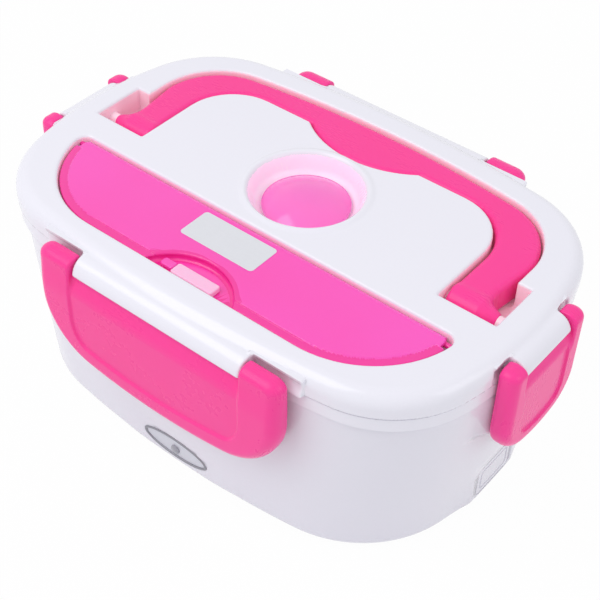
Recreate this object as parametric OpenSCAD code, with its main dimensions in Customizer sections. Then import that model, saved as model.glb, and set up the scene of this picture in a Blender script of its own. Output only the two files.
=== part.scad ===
// Electric lunch box with a lift-off lid, four swinging latches, a carrying handle and a spoon pocket.
// Sizes in mm. The length runs along X, the lamp side faces -Y, the rubber feet stand on z = 0.

/* [Body] */
// Length of the lid without its tabs and latches
body_l = 211; // [208:1:214]
// Width of the lid without its tabs and latches
body_w = 140.6; // [139:0.2:143]
// Height from the table to the flat top of the lid
body_h = 88; // [87:1:92]
// Radius of the rounded corners of the lid seen from above
corner_r = 41; // [40:1:43]
// Wall thickness of the lid and base mouldings
wall = 2.2; // [2:0.1:2.4]

/* [Lid] */
// Height of the lid skirt from the flat top to its lower edge
skirt_h = 9.8; // [9.4:0.1:10]
// Radius of the rounded top edge of the lid
edge_r = 5.8; // [5:0.1:6]
// Depth of the handle slot and of the spoon pocket
pocket_h = 12.5; // [12.3:0.1:12.8]
// Radius of the mouth of the vent cup
vent_r = 22.2; // [21:0.2:23]

/* [Latches] */
// Half length of the long latches at the front and back
latch_l = 58; // [56:0.5:60]
// Half length of the short latches at the two ends
latch_s = 24.3; // [23.5:0.1:25]
// Drop of the long latches below their pivots
latch_drop = 44; // [40:1:46]

/* [Hidden] */
top = body_h;
lid_o = [body_l / 2, body_w / 2, corner_r, 8.5, 14.5];
base_o = [body_l / 2 - 1.2, body_w / 2 - 1.1, corner_r + 4, 8, 13];
band_top = top - skirt_h - 0.35;
band_low = top - 15.5;
floor_z = 1;
pivot_z = top - 6;
pivot_y = body_w / 2 + 1.6;
pivot_x = body_l / 2 + 1.6;
well_t = 1.8;
well_z = top - pocket_h - well_t;
tab_l = 38.8;
tab_s = 14.8;
handle_y = 0.5;
handle_z = top - 6.6;
cover_y = -23.1;
cover_z = top - 3.2;
vent_y = 8.3;
lamp_y = -body_w / 2 + 2.7;
lamp_z = 9.6;
inlet_z = 12;
tub_z = 25;
$fn = 96;

// Points on an arc about a centre, from one angle to another
function arc(c, r, a0, a1, n) =
    [for (i = [0 : n]) [c[0] + r * cos(a0 + (a1 - a0) * i / n), c[1] + r * sin(a0 + (a1 - a0) * i / n)]];

// Points of an ellipse
function oval(a, b, n) = [for (i = [0 : n - 1]) [a * cos(360 * i / n), b * sin(360 * i / n)]];

// Outline of a body with bowed sides: [half length, half width, corner radius, turn of each long side's half,
// turn of each short side's half]. The next functions give the centre of a corner arc and the two side radii.
function corner(o) =
    let (u = tan(o[3] / 2), v = tan(o[4] / 2), p = o[0] - o[2], q = o[1] - o[2])
    [(p - q * v) / (1 - u * v), (q - p * u) / (1 - u * v)];
function long_r(o) = o[2] + corner(o)[0] / sin(o[3]);
function short_r(o) = o[2] + corner(o)[1] / sin(o[4]);

// Move in a coarse and a fine step, which keeps every decimal
function coarse(v) = [for (a = v) round(a * 10) / 10];
module shift(v) {
    translate(coarse(v))
        translate(v - coarse(v))
            children();
}

// One turned wedge of a section drawn as [distance from the outline, height]
module wedge(c, r, a, start, pts) {
    shift([c[0], c[1], 0])
        rotate_extrude(angle = a, start = start, $fn = 240)
            shift([r, 0, 0])
                polygon(pts);
}

// A section carried right round a body outline
module band(o, pts) {
    c = corner(o);
    f = o[3];
    g = o[4];
    p = long_r(o);
    q = short_r(o);
    wedge([c[0], c[1]], o[2], 90 - f - g, g, pts);
    wedge([-c[0], c[1]], o[2], 90 - f - g, 90 + f, pts);
    wedge([-c[0], -c[1]], o[2], 90 - f - g, 180 + g, pts);
    wedge([c[0], -c[1]], o[2], 90 - f - g, 270 + f, pts);
    wedge([0, o[1] - p], p, 2 * f, 90 - f, pts);
    wedge([0, p - o[1]], p, 2 * f, 270 - f, pts);
    wedge([o[0] - q, 0], q, 2 * g, -g, pts);
    wedge([q - o[0], 0], q, 2 * g, 180 - g, pts);
}

// An eight-sided plate that fills a band whose inner edge lies between d - 6 and d + 6
module core(o, d, z0, z1) {
    c = corner(o);
    x = o[0] + d;
    y = o[1] + d;
    k = (o[2] + d) * 0.5;
    translate([0, 0, z0])
        linear_extrude(z1 - z0)
            polygon([
                [x, -c[1]], [x, c[1]], [c[0] + k, c[1] + k * 1.6], [c[0], y - 2],
                [-c[0], y - 2], [-c[0] - k, c[1] + k * 1.6], [-x, c[1]], [-x, -c[1]],
                [-c[0] - k, -c[1] - k * 1.6], [-c[0], 2 - y], [c[0], 2 - y], [c[0] + k, -c[1] - k * 1.6]
            ]);
}

// Upright prism over a list of points
module prism(pts, z0, z1) {
    translate([0, 0, z0])
        linear_extrude(z1 - z0)
            polygon(pts);
}

// Upright round bar or bore
module post(x, y, z0, z1, r) {
    translate([x, y, z0])
        cylinder(h = z1 - z0, r = r);
}

// Round bar or bore along X
module bar_x(x0, x1, y, z, r) {
    translate([x0, y, z])
        rotate([0, 90, 0])
            cylinder(h = x1 - x0, r = r);
}

// Box from one corner to the opposite one
module block(a, b) {
    translate(a)
        cube(b - a);
}

// Outline of the spoon pocket, grown by o
function spoon_pts(o) = concat(
    arc([82.7, -24.5], 4 + o, -11.25, 90, 7), arc([-82.7, -24.5], 4 + o, 90, 191.25, 7),
    arc([-47.5, -17.5], 39.9 + o, 191.25, 270, 14), arc([47.5, -17.5], 39.9 + o, 270, 348.75, 14));

// Outline of the handle slot, grown by o, with the finger notch in the middle of its island
function notch_x(o) = sqrt(pow(42.6 + o, 2) - pow(33.6 + o, 2));
function slot_pts(o) = concat(
    [[69.5 - o, -7.2 - o], [93 + o, -7.2 - o], [93 + o, 15.3 + o], [87 + o, 15.3 + o]],
    arc([59, 25.46], 28 + o, 0, 81.96, 10), arc([0, -392.4], 450 + o, 81.96, 98.04, 8),
    arc([-59, 25.46], 28 + o, 98.04, 180, 10),
    [[-87 - o, 15.3 + o], [-93 - o, 15.3 + o], [-93 - o, -7.2 - o], [-69.5 + o, -7.2 - o]],
    arc([-47.5, 21], 22 - o, 180, 90, 8),
    arc([0, 76.6], 42.6 + o, 270 - atan2(notch_x(o), 33.6 + o), 270 + atan2(notch_x(o), 33.6 + o), 10),
    arc([47.5, 21], 22 - o, 90, 0, 8));

// The four latch places in turn: long at front and back, short at the right and left ends
module at_front() {
    translate([0, -pivot_y, pivot_z])
        rotate([90, 0, 0])
            children();
}

module at_back() {
    rotate([0, 0, 180])
        at_front()
            children();
}

module at_right() {
    rotate([0, 0, 90])
        translate([0, -pivot_x, pivot_z])
            rotate([90, 0, 0])
                children();
}

module at_left() {
    rotate([0, 0, 180])
        at_right()
            children();
}

// Tab on the lid that carries a latch, drawn about the pivot: X along the edge, Y up, Z outwards
module tab(half) {
    rotate([0, -90, 0])
        translate([0, 0, -half])
            linear_extrude(2 * half)
                polygon(concat(
                    [[3.3, -3.8], [-6.4, -3.8], [-6.4, 3.8]],
                    arc([-3.1, -2.6], 6.4, 90, 0, 9)));
}

// Room for a latch ear in the edge of the lid, and the wall behind it
module ear_room(a, b, r) {
    translate([a, 0, 0])
        rotate([0, 90, 0])
            cylinder(h = b - a, r = r);
    translate([-b, 0, 0])
        rotate([0, 90, 0])
            cylinder(h = b - a, r = r);
}

module ear_wall(a, b) {
    block([a, -3.8, -7.4], [b, 4, -3.4]);
    block([-b, -3.8, -7.4], [-a, 4, -3.4]);
}

// Lid shell
module lid_shell() {
    color([0.96, 0.96, 0.97])
        difference() {
            union() {
                band(lid_o, concat(
                    [[-26, top - wall], [-26, top]],
                    arc([-edge_r, top - edge_r], edge_r, 90, 0, 8),
                    [[0, top - skirt_h], [-wall, top - skirt_h]],
                    arc([-edge_r, top - edge_r], edge_r - wall, 0, 90, 6)));
                core(lid_o, -20, top - wall, top);
                prism(spoon_pts(well_t), well_z, top - 0.5);
                prism(slot_pts(well_t), well_z, top - 0.5);
                post(0, vent_y, top - 10.3, top - 0.5, vent_r + 1.8);
                vent_lip();
                bar_x(86, 91, cover_y, cover_z, 2.4);
                bar_x(-91, -86, cover_y, cover_z, 2.4);
                at_front() { tab(tab_l); ear_wall(tab_l - 1, 58); }
                at_back() { tab(tab_l); ear_wall(tab_l - 1, 58); }
                at_right() { tab(tab_s); ear_wall(tab_s - 1, 22); }
                at_left() { tab(tab_s); ear_wall(tab_s - 1, 22); }
            }
            prism(spoon_pts(0), top - pocket_h, top + 1);
            prism(slot_pts(0), top - pocket_h, top + 1);
            vent_mouth();
            at_front() ear_cuts(tab_l, 60);
            at_back() ear_cuts(tab_l, 60);
            at_right() ear_cuts(tab_s, 23.5);
            at_left() ear_cuts(tab_s, 23.5);
            bar_x(80, 90, cover_y, cover_z, 1.01);
            bar_x(-90, -80, cover_y, cover_z, 1.01);
            bar_x(66, 96, handle_y, handle_z, 2.51);
            bar_x(-96, -66, handle_y, handle_z, 2.51);
        }
}

module ear_cuts(half, far) {
    ear_room(half, far, 4.9);
    ear_room(half - 8.2, half + 1, 1.31);
}

module vent_lip() {
    translate([0, vent_y, top - 1])
        rotate_extrude()
            polygon(concat([[vent_r - 0.8, 0]], [[vent_r + 3.4, 0]], arc([vent_r + 1.2, -0.25], 1.9, 38, 142, 6)));
}

module vent_mouth() {
    translate([0, vent_y, 0])
        rotate_extrude()
            polygon(concat(
                [[0, top - 8.5], [vent_r - 3.2, top - 8.5]],
                arc([vent_r + 1.6, top - 2.4], 2.4, 180, 125, 5),
                [[vent_r + 0.3, top + 2], [0, top + 2]]));
    post(0, vent_y, top - 12, top, 7.55);
}

// Liner under the lid
module lid_liner() {
    color([0.93, 0.93, 0.95])
        difference() {
            union() {
                band(lid_o, [
                    [-7.7, top - wall], [-6.2, top - wall], [-6.2, well_z - 1.8], [-26, well_z - 1.8],
                    [-26, well_z], [-7.7, well_z]
                ]);
                core(lid_o, -20, well_z - 1.8, well_z);
            }
            post(0, vent_y, well_z - 3, well_z + 1, 9);
        }
}

// Silicone ring that seals the lid on the food container
module lid_seal() {
    color([0.88, 0.88, 0.86])
        band(lid_o, [[-7, well_z - 1.8], [-7, well_z - 3.4], [-8.2, well_z - 4], [-10.8, well_z - 4],
            [-12, well_z - 3.4], [-12, well_z - 1.8]]);
}

// Vent plug with a dome and a hollow stem
module vent_plug() {
    color([1, 0.42, 0.62])
        translate([0, vent_y, top - 7.6])
            rotate_extrude()
                polygon(concat(
                    [[5.5, -5.4], [7.5, -5.4], [7.5, 0], [17, 0]],
                    arc([0, -23], 29.4, 54.7, 90, 12),
                    arc([0, -23], 27.6, 90, 78.5, 4)));
}

module vent_seal() {
    color([0.9, 0.9, 0.88])
        translate([0, vent_y, top - 8.2])
            rotate_extrude()
                polygon([[11, 0.6], [11.6, 0], [14.4, 0], [15, 0.6]]);
}

// Pins pressed into the walls of the handle slot
module handle_pins() {
    color([0.78, 0.79, 0.8]) {
        bar_x(67.8, 94.7, handle_y, handle_z, 2.5);
        bar_x(-94.7, -67.8, handle_y, handle_z, 2.5);
    }
}

module cover_pins() {
    color([0.78, 0.79, 0.8]) {
        bar_x(76, 89.8, cover_y, cover_z, 1);
        bar_x(-89.8, -76, cover_y, cover_z, 1);
    }
}

module latch_pins() {
    color([0.78, 0.79, 0.8]) {
        at_front() ear_room(tab_l - 8, tab_l + 11, 1.3);
        at_back() ear_room(tab_l - 8, tab_l + 11, 1.3);
        at_right() ear_room(tab_s - 8, tab_s + 3.4, 1.3);
        at_left() ear_room(tab_s - 8, tab_s + 3.4, 1.3);
    }
}

// Carrying handle: a bow with two eyes at the ends of its legs, hollow underneath
function bow_pts(o, y0) = concat(
    [[70.5 - o, y0], [84 + o, y0], [84 + o, 9]],
    arc([59, 25.46], 27.3 + o, 0, 81.96, 10), arc([0, -392.4], 449.3 + o, 81.96, 98.04, 8),
    arc([-59, 25.46], 27.3 + o, 98.04, 180, 10),
    [[-84 - o, 9], [-84 - o, y0], [-70.5 + o, y0]],
    arc([-47.5, 21], 23 - o, 180, 90, 8),
    arc([0, 76.6], 41.6 + o, 270 - atan2(bump_x(o), 32.6 + o), 270 + atan2(bump_x(o), 32.6 + o), 10),
    arc([47.5, 21], 23 - o, 90, 0, 8));
function bump_x(o) = sqrt(pow(41.6 + o, 2) - pow(32.6 + o, 2));

module handle() {
    color([1, 0.33, 0.59])
        difference() {
            union() {
                prism(bow_pts(0, handle_y), top - 11.7, top - 1.2);
                bar_x(70.5, 90.5, handle_y, handle_z, 5.4);
                bar_x(-90.5, -70.5, handle_y, handle_z, 5.4);
            }
            difference() {
                prism(bow_pts(-2.2, 9.5), top - 12.5, top - 3.4);
                for (x = [-54 : 18 : 54])
                    block([x - 0.7, 30, top - 11], [x + 0.7, 60, top - 3]);
            }
            bar_x(66, 96, handle_y, handle_z, 2.55);
            bar_x(-96, -66, handle_y, handle_z, 2.55);
        }
}

// Cover of the spoon pocket with its sunken thumb arch
module spoon_cover() {
    color([0.98, 0.3, 0.72, 0.8])
        difference() {
            union() {
                difference() {
                    prism(spoon_pts(-0.6), top - 5.4, top - 1);
                    prism(spoon_pts(-2.2), top - 6, top - 2.8);
                    block([-90, cover_y - 3, top - 7], [90, -18, top - 2.8]);
                    block([-90, cover_y, top - 7], [90, -18, top]);
                    post(0, -67.2, top - 6, top, 22.7);
                }
                intersection() {
                    prism(spoon_pts(-0.6), top - 5.4, top - 1);
                    difference() {
                        post(0, -67.2, top - 5.4, top - 1, 24.3);
                        post(0, -67.2, top - 4, top, 22.7);
                    }
                }
                bar_x(-83.2, 83.2, cover_y, cover_z, 2.15);
            }
            block([83.8, cover_y - 3.6, top - 7], [90, -18, top]);
            block([-90, cover_y - 3.6, top - 7], [-83.8, -18, top]);
            bar_x(73, 90, cover_y, cover_z, 1.05);
            bar_x(-90, -73, cover_y, cover_z, 1.05);
        }
}

module cover_tongue() {
    color([1, 0.72, 0.85])
        prism([[-9, -56.4], [10, -56.4], [10, -52.5], [8.6, -51], [-7.6, -51], [-9, -52.5]], top - 4, top - 1.4);
}

// Spoon lying in its pocket
module spoon() {
    color([1, 0.4, 0.64]) {
        intersection() {
            translate([-42, -40, top - 12.1 + 70])
                difference() {
                    sphere(r = 70, $fn = 240);
                    sphere(r = 68.4, $fn = 240);
                }
            translate([-42, -40, top - 13])
                linear_extrude(8)
                    polygon(oval(27, 13.5, 40));
        }
        prism([[-17.5, -43.2], [8, -41.5], [66, -42.5], [69, -41], [70, -38], [69, -35], [66, -33.5], [8, -37.5],
            [-17.5, -36.8]], top - 8.1, top - 5.9);
    }
}

// Rounded outline of a latch seen from outside, set in by g
function dee(cx, cy, cr, f, g) =
    let (br = cr + cx / sin(f), by = cy + (br - cr) * cos(f))
    concat([[cx + cr - g, -3]], arc([cx, cy], cr - g, 0, f - 89, 9), arc([0, by], br - g, 269 + f, 271 - f, 9),
        arc([-cx, cy], cr - g, 269 - f, 180, 9), [[g - cx - cr, -3]]);

// One latch drawn about its pivot: X along the edge, Y up, Z outwards
module latch(tab_half, half, cr, f, drop, deep, back, hook, ear_far) {
    cx = half - cr;
    br = cr + cx / sin(f);
    cy = round((br - drop - (br - cr) * cos(f)) * 10) / 10;
    by = cy + (br - cr) * cos(f);
    fr = deep * 0.62;
    t = 2;
    w = min(14, cr - 1.5);
    k = w - 2;
    s = concat(
        [[0, back]], arc([-fr, deep - fr], fr, 0, 90, 8), [[-w, deep], [-w, deep - t]],
        arc([-fr, deep - fr], fr - t, 90, 0, 6), [[-t, back]]);
    difference() {
        union() {
            wedge([cx, cy], cr, 90 - f, f - 90, s);
            wedge([-cx, cy], cr, 90 - f, 180, s);
            wedge([0, by], br, 2 * f, 270 - f, s);
            side_strip(half, cy, -2.5, s);
            mirror([1, 0, 0])
                side_strip(half, cy, -2.5, s);
            prism([[half - k, -2.5], [half - k, cy], [cx + (cr - k) * 0.8, cy - (cr - k) * 0.6],
                [cx * 0.95, cy - cr + k + 0.6], [0, by - br + k], [-cx * 0.95, cy - cr + k + 0.6],
                [-cx - (cr - k) * 0.8, cy - (cr - k) * 0.6], [k - half, cy], [k - half, -2.5]],
                deep - t, deep);
            rib(-hook, hook, [[-0.6, -10.1], [deep - 1, -10.1], [deep - 1, -12.5], [-0.6, -12.5]]);
        }
        rib(-half - 1, half + 1, [[4, -2], [deep - 3, -5], [deep + 1, -9], [deep + 1, 1], [-6, 1], [-6, -2]]);
        rib(-tab_half - 0.5, tab_half + 0.5, [[-6, 1], [-6, -4.6], [4.4, -4.6], [deep + 0.5, -12], [deep + 0.5, 1]]);
        ear_room(tab_half, ear_far + 3, 3);
        block([-hook - 2, -drop - 2, back - 1], [hook + 2, -16, -0.6]);
        difference() {
            prism(dee(cx, cy, cr, f, fr + 1.2), deep - 0.6, deep + 1);
            prism(dee(cx, cy, cr, f, fr + 2), deep - 1, deep + 2);
        }
    }
    rib(-tab_half - 2, tab_half + 2, [[2.4, -5.8], [4.4, -4.8], [deep, -11.7], [deep - 2, -13.4]]);
    ear(tab_half + 0.5, ear_far, deep, back);
    mirror([1, 0, 0])
        ear(tab_half + 0.5, ear_far, deep, back);
}

module side_strip(half, y0, y1, s) {
    translate([0, y1, 0])
        rotate([90, 0, 0])
            linear_extrude(y1 - y0)
                polygon([for (p = s) [half + p[0], p[1]]]);
}

// A bar of constant section along the edge; the section is drawn as [outwards, up]
module rib(x0, x1, pts) {
    translate([x0, 0, 0])
        rotate([0, -90, 0])
            mirror([0, 0, 1])
                linear_extrude(x1 - x0)
                    polygon(pts);
}

module ear(x0, x1, deep, back) {
    difference() {
        union() {
            rib(x0, x1, concat(arc([0, 0], 4.5, 205, 35, 14), [[deep - 3.6, -4.2], [deep - 1, -7.4],
                [deep - 1, -12], [deep - 3, -12], [deep - 3, -8.2], [3.5, -3.5]]));
            rib(x0, x0 + 2, [[0, 0], [deep - 3, -5], [deep - 1, -9], [deep - 1, -12], [back, -12], [back, -2]]);
        }
        translate([x0 - 1, 0, 0])
            rotate([0, 90, 0])
                cylinder(h = x1 - x0 - 2, r = 1.36);
    }
}

module latch_long() {
    latch(tab_l, latch_l, 28, 14, latch_drop, 13, -2.4, 30, 57.2);
}

module latch_short() {
    latch(tab_s, latch_s, 13.5, 9.5, 29.5, 8.8, -2.6, 11, 21.6);
}

module latch_front() {
    color([1, 0.33, 0.59]) at_front() latch_long();
}

module latch_back() {
    color([1, 0.33, 0.59]) at_back() latch_long();
}

module latch_right() {
    color([1, 0.33, 0.59]) at_right() latch_short();
}

module latch_left() {
    color([1, 0.33, 0.59]) at_left() latch_short();
}

// Base shell, open at the top and bottom, with flat pads for the lamp and the inlet
module base_shell() {
    color([0.95, 0.95, 0.97])
        difference() {
            union() {
                band(base_o, concat(
                    [[-16, floor_z]], arc([-8.7, floor_z + 6.5], 6.5, 270, 360, 8),
                    [[0, band_low], [-wall, band_low]],
                    arc([-8.7, floor_z + 6.5], 4.3, 360, 270, 6), [[-16, floor_z + wall]]));
                translate([0, lamp_y + 8, 0])
                    rotate([90, 0, 0])
                        pad(19.5, 16.5, 4, 8);
                translate([body_l / 2 - 9.6, 0, 0])
                    rotate([90, 0, 90])
                        pad(34, 21, 6, 6.4);
                at_right() latch_pad();
                at_left() latch_pad();
            }
            block([-17.3, lamp_y + 2.2, floor_z + wall], [17.3, lamp_y + 9, 14.3]);
            block([body_l / 2 - 12, -31, floor_z + wall], [body_l / 2 - 5.4, 31, 17.6]);
            block([body_l / 2 - 12, -15, floor_z + wall], [body_l / 2 - 5.4, 15, 18.9]);
            lamp_hole(0, 16.1, 5.4, 1.4);
            lamp_hole(0, 9, 3.4, 12);
            block([90, -11, inlet_z - 7], [110, 11, inlet_z + 7]);
        }
}

module pad(half, z1, r, deep) {
    linear_extrude(deep)
        polygon(concat([[-half, floor_z], [half, floor_z]], arc([half - r, z1 - r], r, 0, 90, 6),
            arc([r - half, z1 - r], r, 90, 180, 6)));
}

// Raised plate on the wall behind a short latch
module latch_pad() {
    translate([0, 0, -5.2])
        linear_extrude(1.7)
            intersection() {
                polygon(dee(10.8, -15.1, 13.5, 9.5, 1.6));
                translate([-30, -40])
                    square([60, 30.1]);
            }
}

module lamp_hole(o, a, b, deep) {
    translate([0, lamp_y + deep, lamp_z])
        rotate([90, 0, 0])
            linear_extrude(deep + 2)
                polygon(oval(a + o, b + o, 48));
}

// Heating tub: visible rim band, catches, ledge, basin and posts
module tub() {
    color([0.94, 0.94, 0.96])
        difference() {
            union() {
                band(lid_o, [
                    [-0.6, band_top], [-0.6, band_low], [-4.8, band_low], [-4.8, top - 22.6], [-10.4, top - 22.6],
                    [-10.4, tub_z + 3], [-13.4, tub_z], [-30, tub_z], [-30, tub_z + 1.8], [-14.2, tub_z + 1.8],
                    [-12.2, tub_z + 3.8], [-12.2, top - 20.8], [-5.8, top - 20.8], [-5.8, band_top]
                ]);
                core(lid_o, -24, tub_z, tub_z + 1.8);
                catch_ridge(30, pivot_y, 0);
                catch_ridge(30, pivot_y, 180);
                catch_ridge(11, pivot_x, 90);
                catch_ridge(11, pivot_x, 270);
                for (x = [-45, 45])
                    for (y = [-42, 42])
                        post(x, y, floor_z + 2.2, tub_z + 1, 4);
            }
            post(0, 0, tub_z - 1, tub_z + 3, 42.3);
            for (x = [-45, 45])
                for (y = [-42, 42])
                    post(x, y, floor_z, 17, 1.52);
        }
}

module catch_ridge(half, reach, turn) {
    rotate([0, 0, turn])
        block([-half, -reach + 0.9, band_low], [half, -reach + 5, band_low + 2.6]);
}

// Cover plate under the base
module bottom_cover() {
    color([0.9, 0.9, 0.92])
        difference() {
            union() {
                band(base_o, [
                    [-16.2, floor_z], [-16.2, floor_z + wall], [-11, floor_z + wall], [-11, floor_z + 4],
                    [-19, floor_z + 4], [-19, floor_z + wall], [-30, floor_z + wall], [-30, floor_z]
                ]);
                core(base_o, -24, floor_z, floor_z + wall);
            }
            for (x = [-45, 45])
                for (y = [-42, 42]) {
                    post(x, y, floor_z - 1, floor_z + 1.3, 3.3);
                    post(x, y, floor_z, floor_z + 4, 1.7);
                }
            for (x = [-70, 70])
                for (y = [-36, 36])
                    post(x, y, floor_z - 1, floor_z + 0.8, 6.1);
            for (x = [-30 : 10 : 30])
                block([x - 1.2, -20, floor_z - 1], [x + 1.2, 20, floor_z + 4]);
        }
}

module bottom_screws() {
    color([0.75, 0.76, 0.78])
        for (x = [-45, 45])
            for (y = [-42, 42])
                difference() {
                    union() {
                        post(x, y, floor_z + 0.2, floor_z + 1.3, 3);
                        post(x, y, floor_z + 1, floor_z + 13, 1.5);
                    }
                    block([x - 2, y - 0.35, floor_z], [x + 2, y + 0.35, floor_z + 0.8]);
                    block([x - 0.35, y - 2, floor_z], [x + 0.35, y + 2, floor_z + 0.8]);
                }
}

module rubber_feet() {
    color([0.2, 0.2, 0.22])
        for (x = [-70, 70])
            for (y = [-36, 36])
                translate([x, y, 0])
                    rotate_extrude()
                        polygon([[0, 0], [5, 0], [6, 0.8], [6, 1.8], [0, 1.8]]);
}

// Heating parts under the tub
module heater_plate() {
    color([0.8, 0.81, 0.83])
        difference() {
            union() {
                post(0, 0, tub_z - 0.4, tub_z + 1.9, 42);
                post(-30, 0, tub_z - 6.4, tub_z, 3);
                post(30, 0, tub_z - 6.4, tub_z, 3);
                post(0, 26, tub_z - 4, tub_z, 2.6);
            }
            post(-30, 0, tub_z - 7, tub_z - 1.5, 1.27);
            post(30, 0, tub_z - 7, tub_z - 1.5, 1.27);
        }
}

module ptc_heater() {
    color([0.82, 0.78, 0.66])
        block([-17, -12, tub_z - 6.4], [17, 12, tub_z - 0.4]);
}

module heater_clamp() {
    color([0.72, 0.73, 0.75])
        difference() {
            union() {
                block([-35, -6, tub_z - 7.2], [35, 6, tub_z - 6.4]);
                block([-18, -6, tub_z - 6.4], [-17.2, 6, tub_z - 2]);
                block([17.2, -6, tub_z - 6.4], [18, 6, tub_z - 2]);
            }
            post(-30, 0, tub_z - 8, tub_z - 5, 1.6);
            post(30, 0, tub_z - 8, tub_z - 5, 1.6);
            post(-25, 0, tub_z - 8, tub_z - 7, 1);
        }
}

module clamp_screws() {
    color([0.75, 0.76, 0.78])
        for (x = [-30, 30]) {
            post(x, 0, tub_z - 9, tub_z - 7.2, 2.6);
            post(x, 0, tub_z - 7.3, tub_z - 2, 1.25);
        }
}

module thermostat() {
    color([0.25, 0.25, 0.27]) {
        post(0, -26, tub_z - 6.4, tub_z - 0.4, 8);
        block([-13, -27.5, tub_z - 5.2], [-7.6, -24.5, tub_z - 4.4]);
        block([7.6, -27.5, tub_z - 5.2], [13, -24.5, tub_z - 4.4]);
    }
}

module thermal_fuse() {
    color([0.86, 0.84, 0.8])
        bar_x(6, 20, 21, tub_z - 2.8, 2);
}

// Power inlet at the right end of the base
module power_inlet() {
    color([0.15, 0.15, 0.17])
        difference() {
            union() {
                block([body_l / 2 - 20, -10.8, inlet_z - 6.8], [body_l / 2 - 3, 10.8, inlet_z + 6.8]);
                block([body_l / 2 - 7.4, -14, inlet_z - 6.8], [body_l / 2 - 5.4, 14, inlet_z + 6.8]);
            }
            block([body_l / 2 - 17, -8.6, inlet_z - 4.6], [body_l / 2, 8.6, inlet_z + 4.6]);
            bar_x(body_l / 2 - 22, body_l / 2 - 15, -5, inlet_z, 1.15);
            bar_x(body_l / 2 - 22, body_l / 2 - 15, 5, inlet_z, 1.15);
        }
}

module inlet_pins() {
    color([0.8, 0.74, 0.5])
        for (y = [-5, 5])
            bar_x(body_l / 2 - 24, body_l / 2 - 6, y, inlet_z, 1.14);
}

// Lamp panel at the front
module lamp_bezel() {
    color([0.72, 0.73, 0.75])
        translate([0, lamp_y + 1.3, lamp_z])
            rotate([90, 0, 0])
                difference() {
                    linear_extrude(1.6)
                        polygon(oval(15.9, 5.2, 48));
                    translate([0, 0, -1])
                        cylinder(h = 4, r = 2.1);
                }
}

module lamp_lens() {
    color([0.8, 0.85, 0.9])
        translate([0, lamp_y + 3, lamp_z])
            rotate([90, 0, 0])
                rotate_extrude()
                    polygon(concat([[0, 0], [2.05, 0], [2.05, 3.3]], arc([0, 0.5], 3.47, 53.8, 90, 4)));
}

module lamp_board() {
    color([0.2, 0.5, 0.3])
        difference() {
            union() {
                block([-12, lamp_y + 6, lamp_z - 4], [12, lamp_y + 7.4, lamp_z + 4]);
                block([-1.6, lamp_y + 3.4, lamp_z - 1.6], [1.6, lamp_y + 6, lamp_z + 1.6]);
            }
            translate([-9, lamp_y + 5, lamp_z])
                rotate([-90, 0, 0])
                    cylinder(h = 4, r = 1);
        }
}

// Insulated leads between the inlet and the heater
module wiring() {
    color([0.85, 0.86, 0.88]) {
        lead([[body_l / 2 - 24, -5, inlet_z], [60, -5, inlet_z], [60, -26, tub_z - 4.8], [13, -26, tub_z - 4.8]]);
        lead([[body_l / 2 - 24, 5, inlet_z], [58, 5, inlet_z], [58, 21, tub_z - 5], [26, 21, tub_z - 2.8],
            [20, 21, tub_z - 2.8]]);
        lead([[-9, lamp_y + 7.4, lamp_z], [-9, -54, lamp_z], [-22, -40, tub_z - 8], [-18, -26, tub_z - 4.8],
            [-13, -26, tub_z - 4.8]]);
    }
}

module lead(pts) {
    for (i = [0 : len(pts) - 2])
        rod(pts[i], pts[i + 1], 0.9);
    for (i = [1 : len(pts) - 2])
        translate(pts[i])
            sphere(r = 1);
}

module rod(p, q, r) {
    v = q - p;
    translate(p)
        rotate([0, acos(v[2] / norm(v)), atan2(v[1], v[0])])
            cylinder(h = norm(v), r = r);
}

// Food container with one partition
module food_container() {
    color([0.97, 0.97, 0.97]) {
        band(lid_o, [
            [-6.3, top - 18.7], [-6.3, top - 20.4], [-12.8, top - 20.4], [-12.8, tub_z + 7], [-17.4, tub_z + 2.5],
            [-30, tub_z + 2.5], [-30, tub_z + 4.1], [-18, tub_z + 4.1], [-14.4, tub_z + 7.7], [-14.4, top - 18.7]
        ]);
        core(lid_o, -24, tub_z + 2.5, tub_z + 4.1);
        block([31, -body_w / 2 + 14, tub_z + 3.5], [32.8, body_w / 2 - 14, top - 22]);
    }
}

// Small dish that stands in the container
module side_dish() {
    color([0.96, 0.6, 0.75])
        difference() {
            prism(dish_pts(0), tub_z + 4.6, top - 23);
            prism(dish_pts(-1.6), tub_z + 6.2, top - 20);
        }
}

function dish_pts(o) = concat(
    arc([72, 26], 12 + o, 0, 90, 7), arc([46, 26], 12 + o, 90, 180, 7), arc([46, -26], 12 + o, 180, 270, 7),
    arc([72, -26], 12 + o, 270, 360, 7));

base_shell();
tub();
bottom_cover();
bottom_screws();
rubber_feet();
heater_plate();
ptc_heater();
heater_clamp();
clamp_screws();
thermostat();
thermal_fuse();
power_inlet();
inlet_pins();
lamp_bezel();
lamp_lens();
lamp_board();
wiring();
food_container();
side_dish();
lid_shell();
lid_liner();
lid_seal();
handle_pins();
cover_pins();
latch_pins();
vent_plug();
vent_seal();
handle();
spoon_cover();
cover_tongue();
spoon();
latch_front();
latch_back();
latch_left();
latch_right();
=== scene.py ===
import logging
import math
from dataclasses import dataclass
from enum import Enum
from typing import Callable, Sequence

import bmesh
import bpy
import numpy as np
from mathutils import Matrix, Vector


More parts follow.
